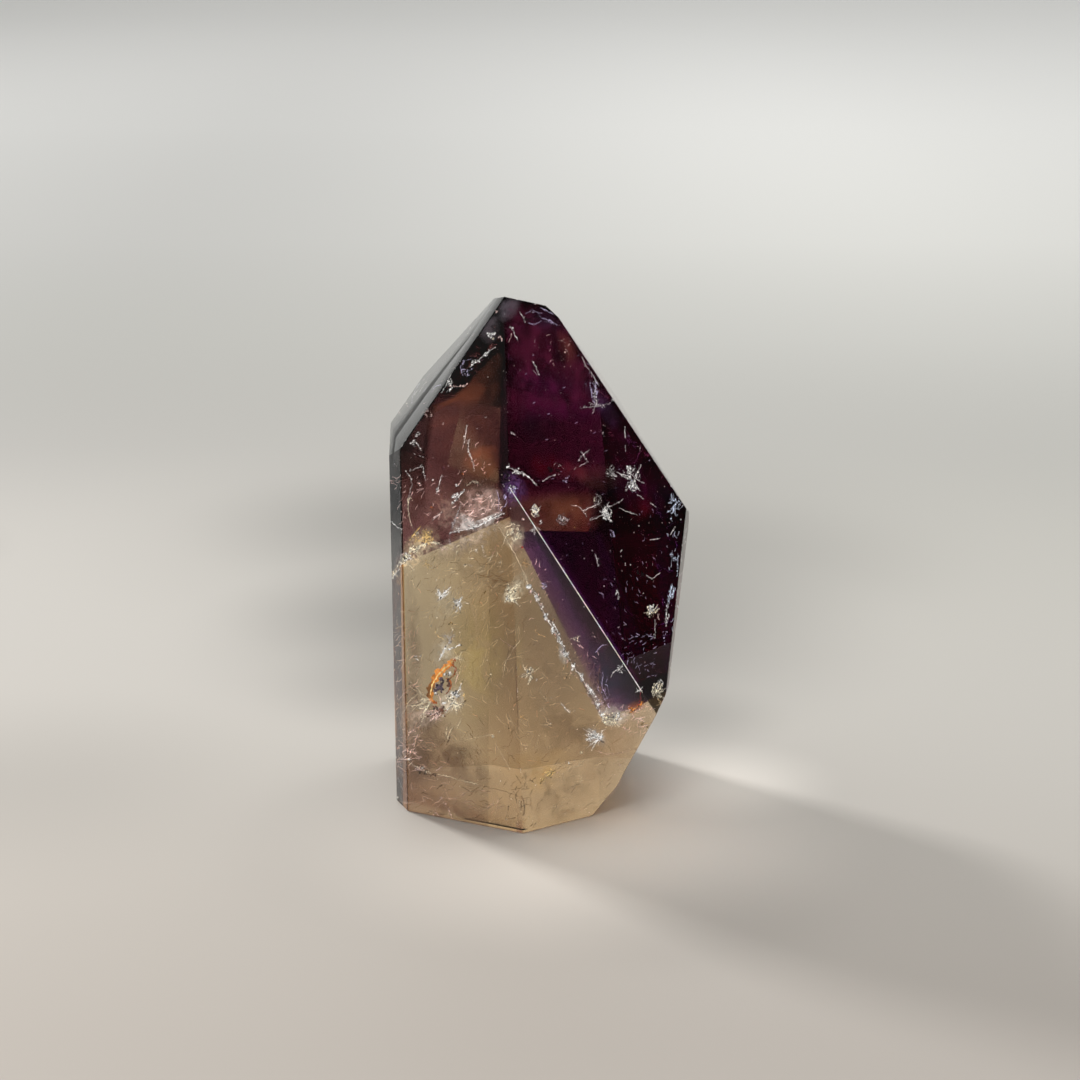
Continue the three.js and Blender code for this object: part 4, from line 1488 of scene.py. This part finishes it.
# Painted shadows (below 1) and painted pools of light (above 1) on the table, round the stone.
PAINTED_SHADOWS_AND_POOLS = (
    # centre, reach, and how bright the table is painted in the middle of it
    ((0.0, 0.14, 0.0), 0.10, 0.8),
    ((0.0, 0.072, 0.0), 0.068, 0.52),
    ((-0.022, 0.15, 0.0), 0.055, 0.70),
    ((-0.024, 0.09, 0.0), 0.038, 0.76),
    ((-0.024, 0.045, 0.0), 0.026, 0.84),
    ((0.025, 0.125, 0.0), 0.06, 0.82),
    ((0.022, 0.03, 0.0), 0.02, 0.76),
    ((-0.075, 0.0, 0.0), 0.05, 0.86),
    ((-0.140, 0.127, 0.0), 0.042, 0.25),
    ((0.004, -0.024, 0.0), 0.045, 1.6),
    ((0.026, 0.001, 0.0), 0.02, 1.45),
    ((0.021, -0.051, 0.0), 0.025, 0.88),
)
# The table is painted darker on the left outside the frame and on the far right: a painted shade that
# the stone's facets reflect. Half the frame is FRAME_HALF_WIDTH wide at the stone and FRAME_SPREAD wider
# for each metre behind it. Each DIM row is a range, over the distance behind the stone or to the right
# of it, and the brightness at its two ends.
FRAME_HALF_WIDTH = 0.077
FRAME_SPREAD = 0.19
DIM_SOFTNESS = 0.035
DIM_NEAR = (0.25, 0.45, 0.33, 0.68)
DIM_FAR = (0.75, 1.4, 1.0, 0.6)
DIM_RIGHT = (0.35, 0.7, 1.0, 0.45)


def painted_falloff_ramp(tree, distance, column):
    """One side's painted tones of the table, the light's falloff, over the distance."""
    ramp = add_node(tree, "ShaderNodeValToRGB", {"Fac": distance})
    ramp.color_ramp.interpolation = "B_SPLINE"
    stops = ramp.color_ramp.elements
    near = TABLE_PAINTED_FALLOFF[0][0]
    far = TABLE_PAINTED_FALLOFF[-1][0]
    for row in TABLE_PAINTED_FALLOFF[1:-1]:
        stops.new((row[0] - near) / (far - near))
    for stop, row in zip(stops, TABLE_PAINTED_FALLOFF):
        stop.color = (*row[column], 1)
    return ramp.outputs["Color"]


def painted_table_light(tree, place, x, y):
    """How bright the table is painted: painted shadows, pools of light, and dimming outside the frame."""
    shades = []
    for centre, reach, level in PAINTED_SHADOWS_AND_POOLS:
        apart = add_node(tree, "ShaderNodeVectorMath", {0: place, 1: centre}, operation="DISTANCE")
        shades.append(map_range(tree, apart.outputs["Value"], 0.0, reach, level))
    leftward = add_node(tree, "ShaderNodeMath", {
        0: map_range(tree, y, 0.0, TABLE_RADIUS, 0.0, TABLE_RADIUS, "LINEAR"),
        1: -FRAME_SPREAD,
        2: times(tree, x, -1.0),
    }, operation="MULTIPLY_ADD")
    edge = FRAME_HALF_WIDTH
    outside = map_range(tree, leftward.outputs["Value"], edge, edge + DIM_SOFTNESS)
    dimming = times(tree, map_range(tree, y, *DIM_NEAR), map_range(tree, y, *DIM_FAR))
    left = add_node(tree, "ShaderNodeMix", {"Factor": outside, "A": 1.0, "B": dimming})
    shades.append(left.outputs["Result"])
    shades.append(map_range(tree, x, *DIM_RIGHT))
    return reduce(partial(times, tree), shades)


def table_material():
    """A pale table, warmer in front, painted brighter far off on the right and darker near the stone."""
    material, tree, shader = new_material("pale_table")
    place = add_node(tree, "ShaderNodeTexCoord").outputs["Object"]
    axes = add_node(tree, "ShaderNodeSeparateXYZ", {"Vector": place}).outputs
    distance = map_range(tree, axes["Y"], TABLE_PAINTED_FALLOFF[0][0], TABLE_PAINTED_FALLOFF[-1][0], course="LINEAR")
    rightward = map_range(tree, axes["X"], -TONE_SIDE, TONE_SIDE)
    tone = mixed(tree, rightward, painted_falloff_ramp(tree, distance, 1), painted_falloff_ramp(tree, distance, 2))
    brightness = painted_table_light(tree, place, axes["X"], axes["Y"])
    fill(tree, shader, {
        "Base Color": mixed(tree, 1.0, tone, brightness, "MULTIPLY"),
        "Roughness": 0.6,
    })
    return material


def make_table():
    """A wide pale table."""
    shape = bmesh.new()
    bmesh.ops.create_circle(shape, cap_ends=True, radius=TABLE_RADIUS, segments=96)
    bmesh.ops.translate(shape, verts=shape.verts, vec=(0, 0, -TABLE_DROP))
    mesh = finished(shape, "table")
    mesh.materials.append(table_material())
    table = bpy.data.objects.new("table", mesh)
    bpy.context.scene.collection.objects.link(table)


make_table()

# --- light --------------------------------------------------------------------------------------------
BRIGHT_SIDE = (-0.45, 0.82, 0.35)
LAMP_TARGET = Vector((0, 0, 0.035))


def make_world():
    """Soft studio surroundings: bright behind and to the left, dim in front and to the right."""
    world = bpy.data.worlds.new("studio")
    bpy.context.scene.world = world
    world.use_nodes = True
    tree = world.node_tree
    direction = add_node(tree, "ShaderNodeTexCoord").outputs["Generated"]
    toward = add_node(tree, "ShaderNodeVectorMath", {0: direction, 1: BRIGHT_SIDE}, operation="DOT_PRODUCT")
    dim = (0.015, 0.015, 0.016, 1)
    bright = (0.78, 0.78, 0.76, 1)
    tone = mixed(tree, map_range(tree, toward.outputs["Value"], -0.25, 0.6), dim, bright)
    fill(tree, tree.nodes["Background"], {"Color": tone, "Strength": 1.0})


def make_light(name, azimuth, elevation, distance, size, power):
    """A soft oblong lamp that faces the stone. azimuth is in degrees from the front towards the right."""
    data = bpy.data.lights.new(name, "AREA")
    data.shape = "RECTANGLE"
    data.size, data.size_y = size
    data.energy = power
    lamp = bpy.data.objects.new(name, data)
    bearing = math.radians(azimuth)
    rise = math.radians(elevation)
    level = math.cos(rise)
    toward = Vector((math.sin(bearing) * level, -math.cos(bearing) * level, math.sin(rise)))
    lamp.location = LAMP_TARGET + toward * distance
    lamp.rotation_euler = toward.to_track_quat("Z", "Y").to_euler()
    bpy.context.scene.collection.objects.link(lamp)


make_world()
make_light("key_lamp", azimuth=-138, elevation=33, distance=1.1, size=(0.16, 0.14), power=6)
make_light("top_lamp", azimuth=170, elevation=76, distance=1.2, size=(0.9, 0.9), power=5)

# --- how colours are shown and how far light is followed ----------------------------------------------
scene = bpy.context.scene
scene.view_settings.view_transform = "Standard"
scene.cycles.max_bounces = 40
scene.cycles.transmission_bounces = 40
scene.cycles.glossy_bounces = 12
scene.cycles.diffuse_bounces = 3
scene.cycles.transparent_max_bounces = 24
scene.cycles.sample_clamp_indirect = 12
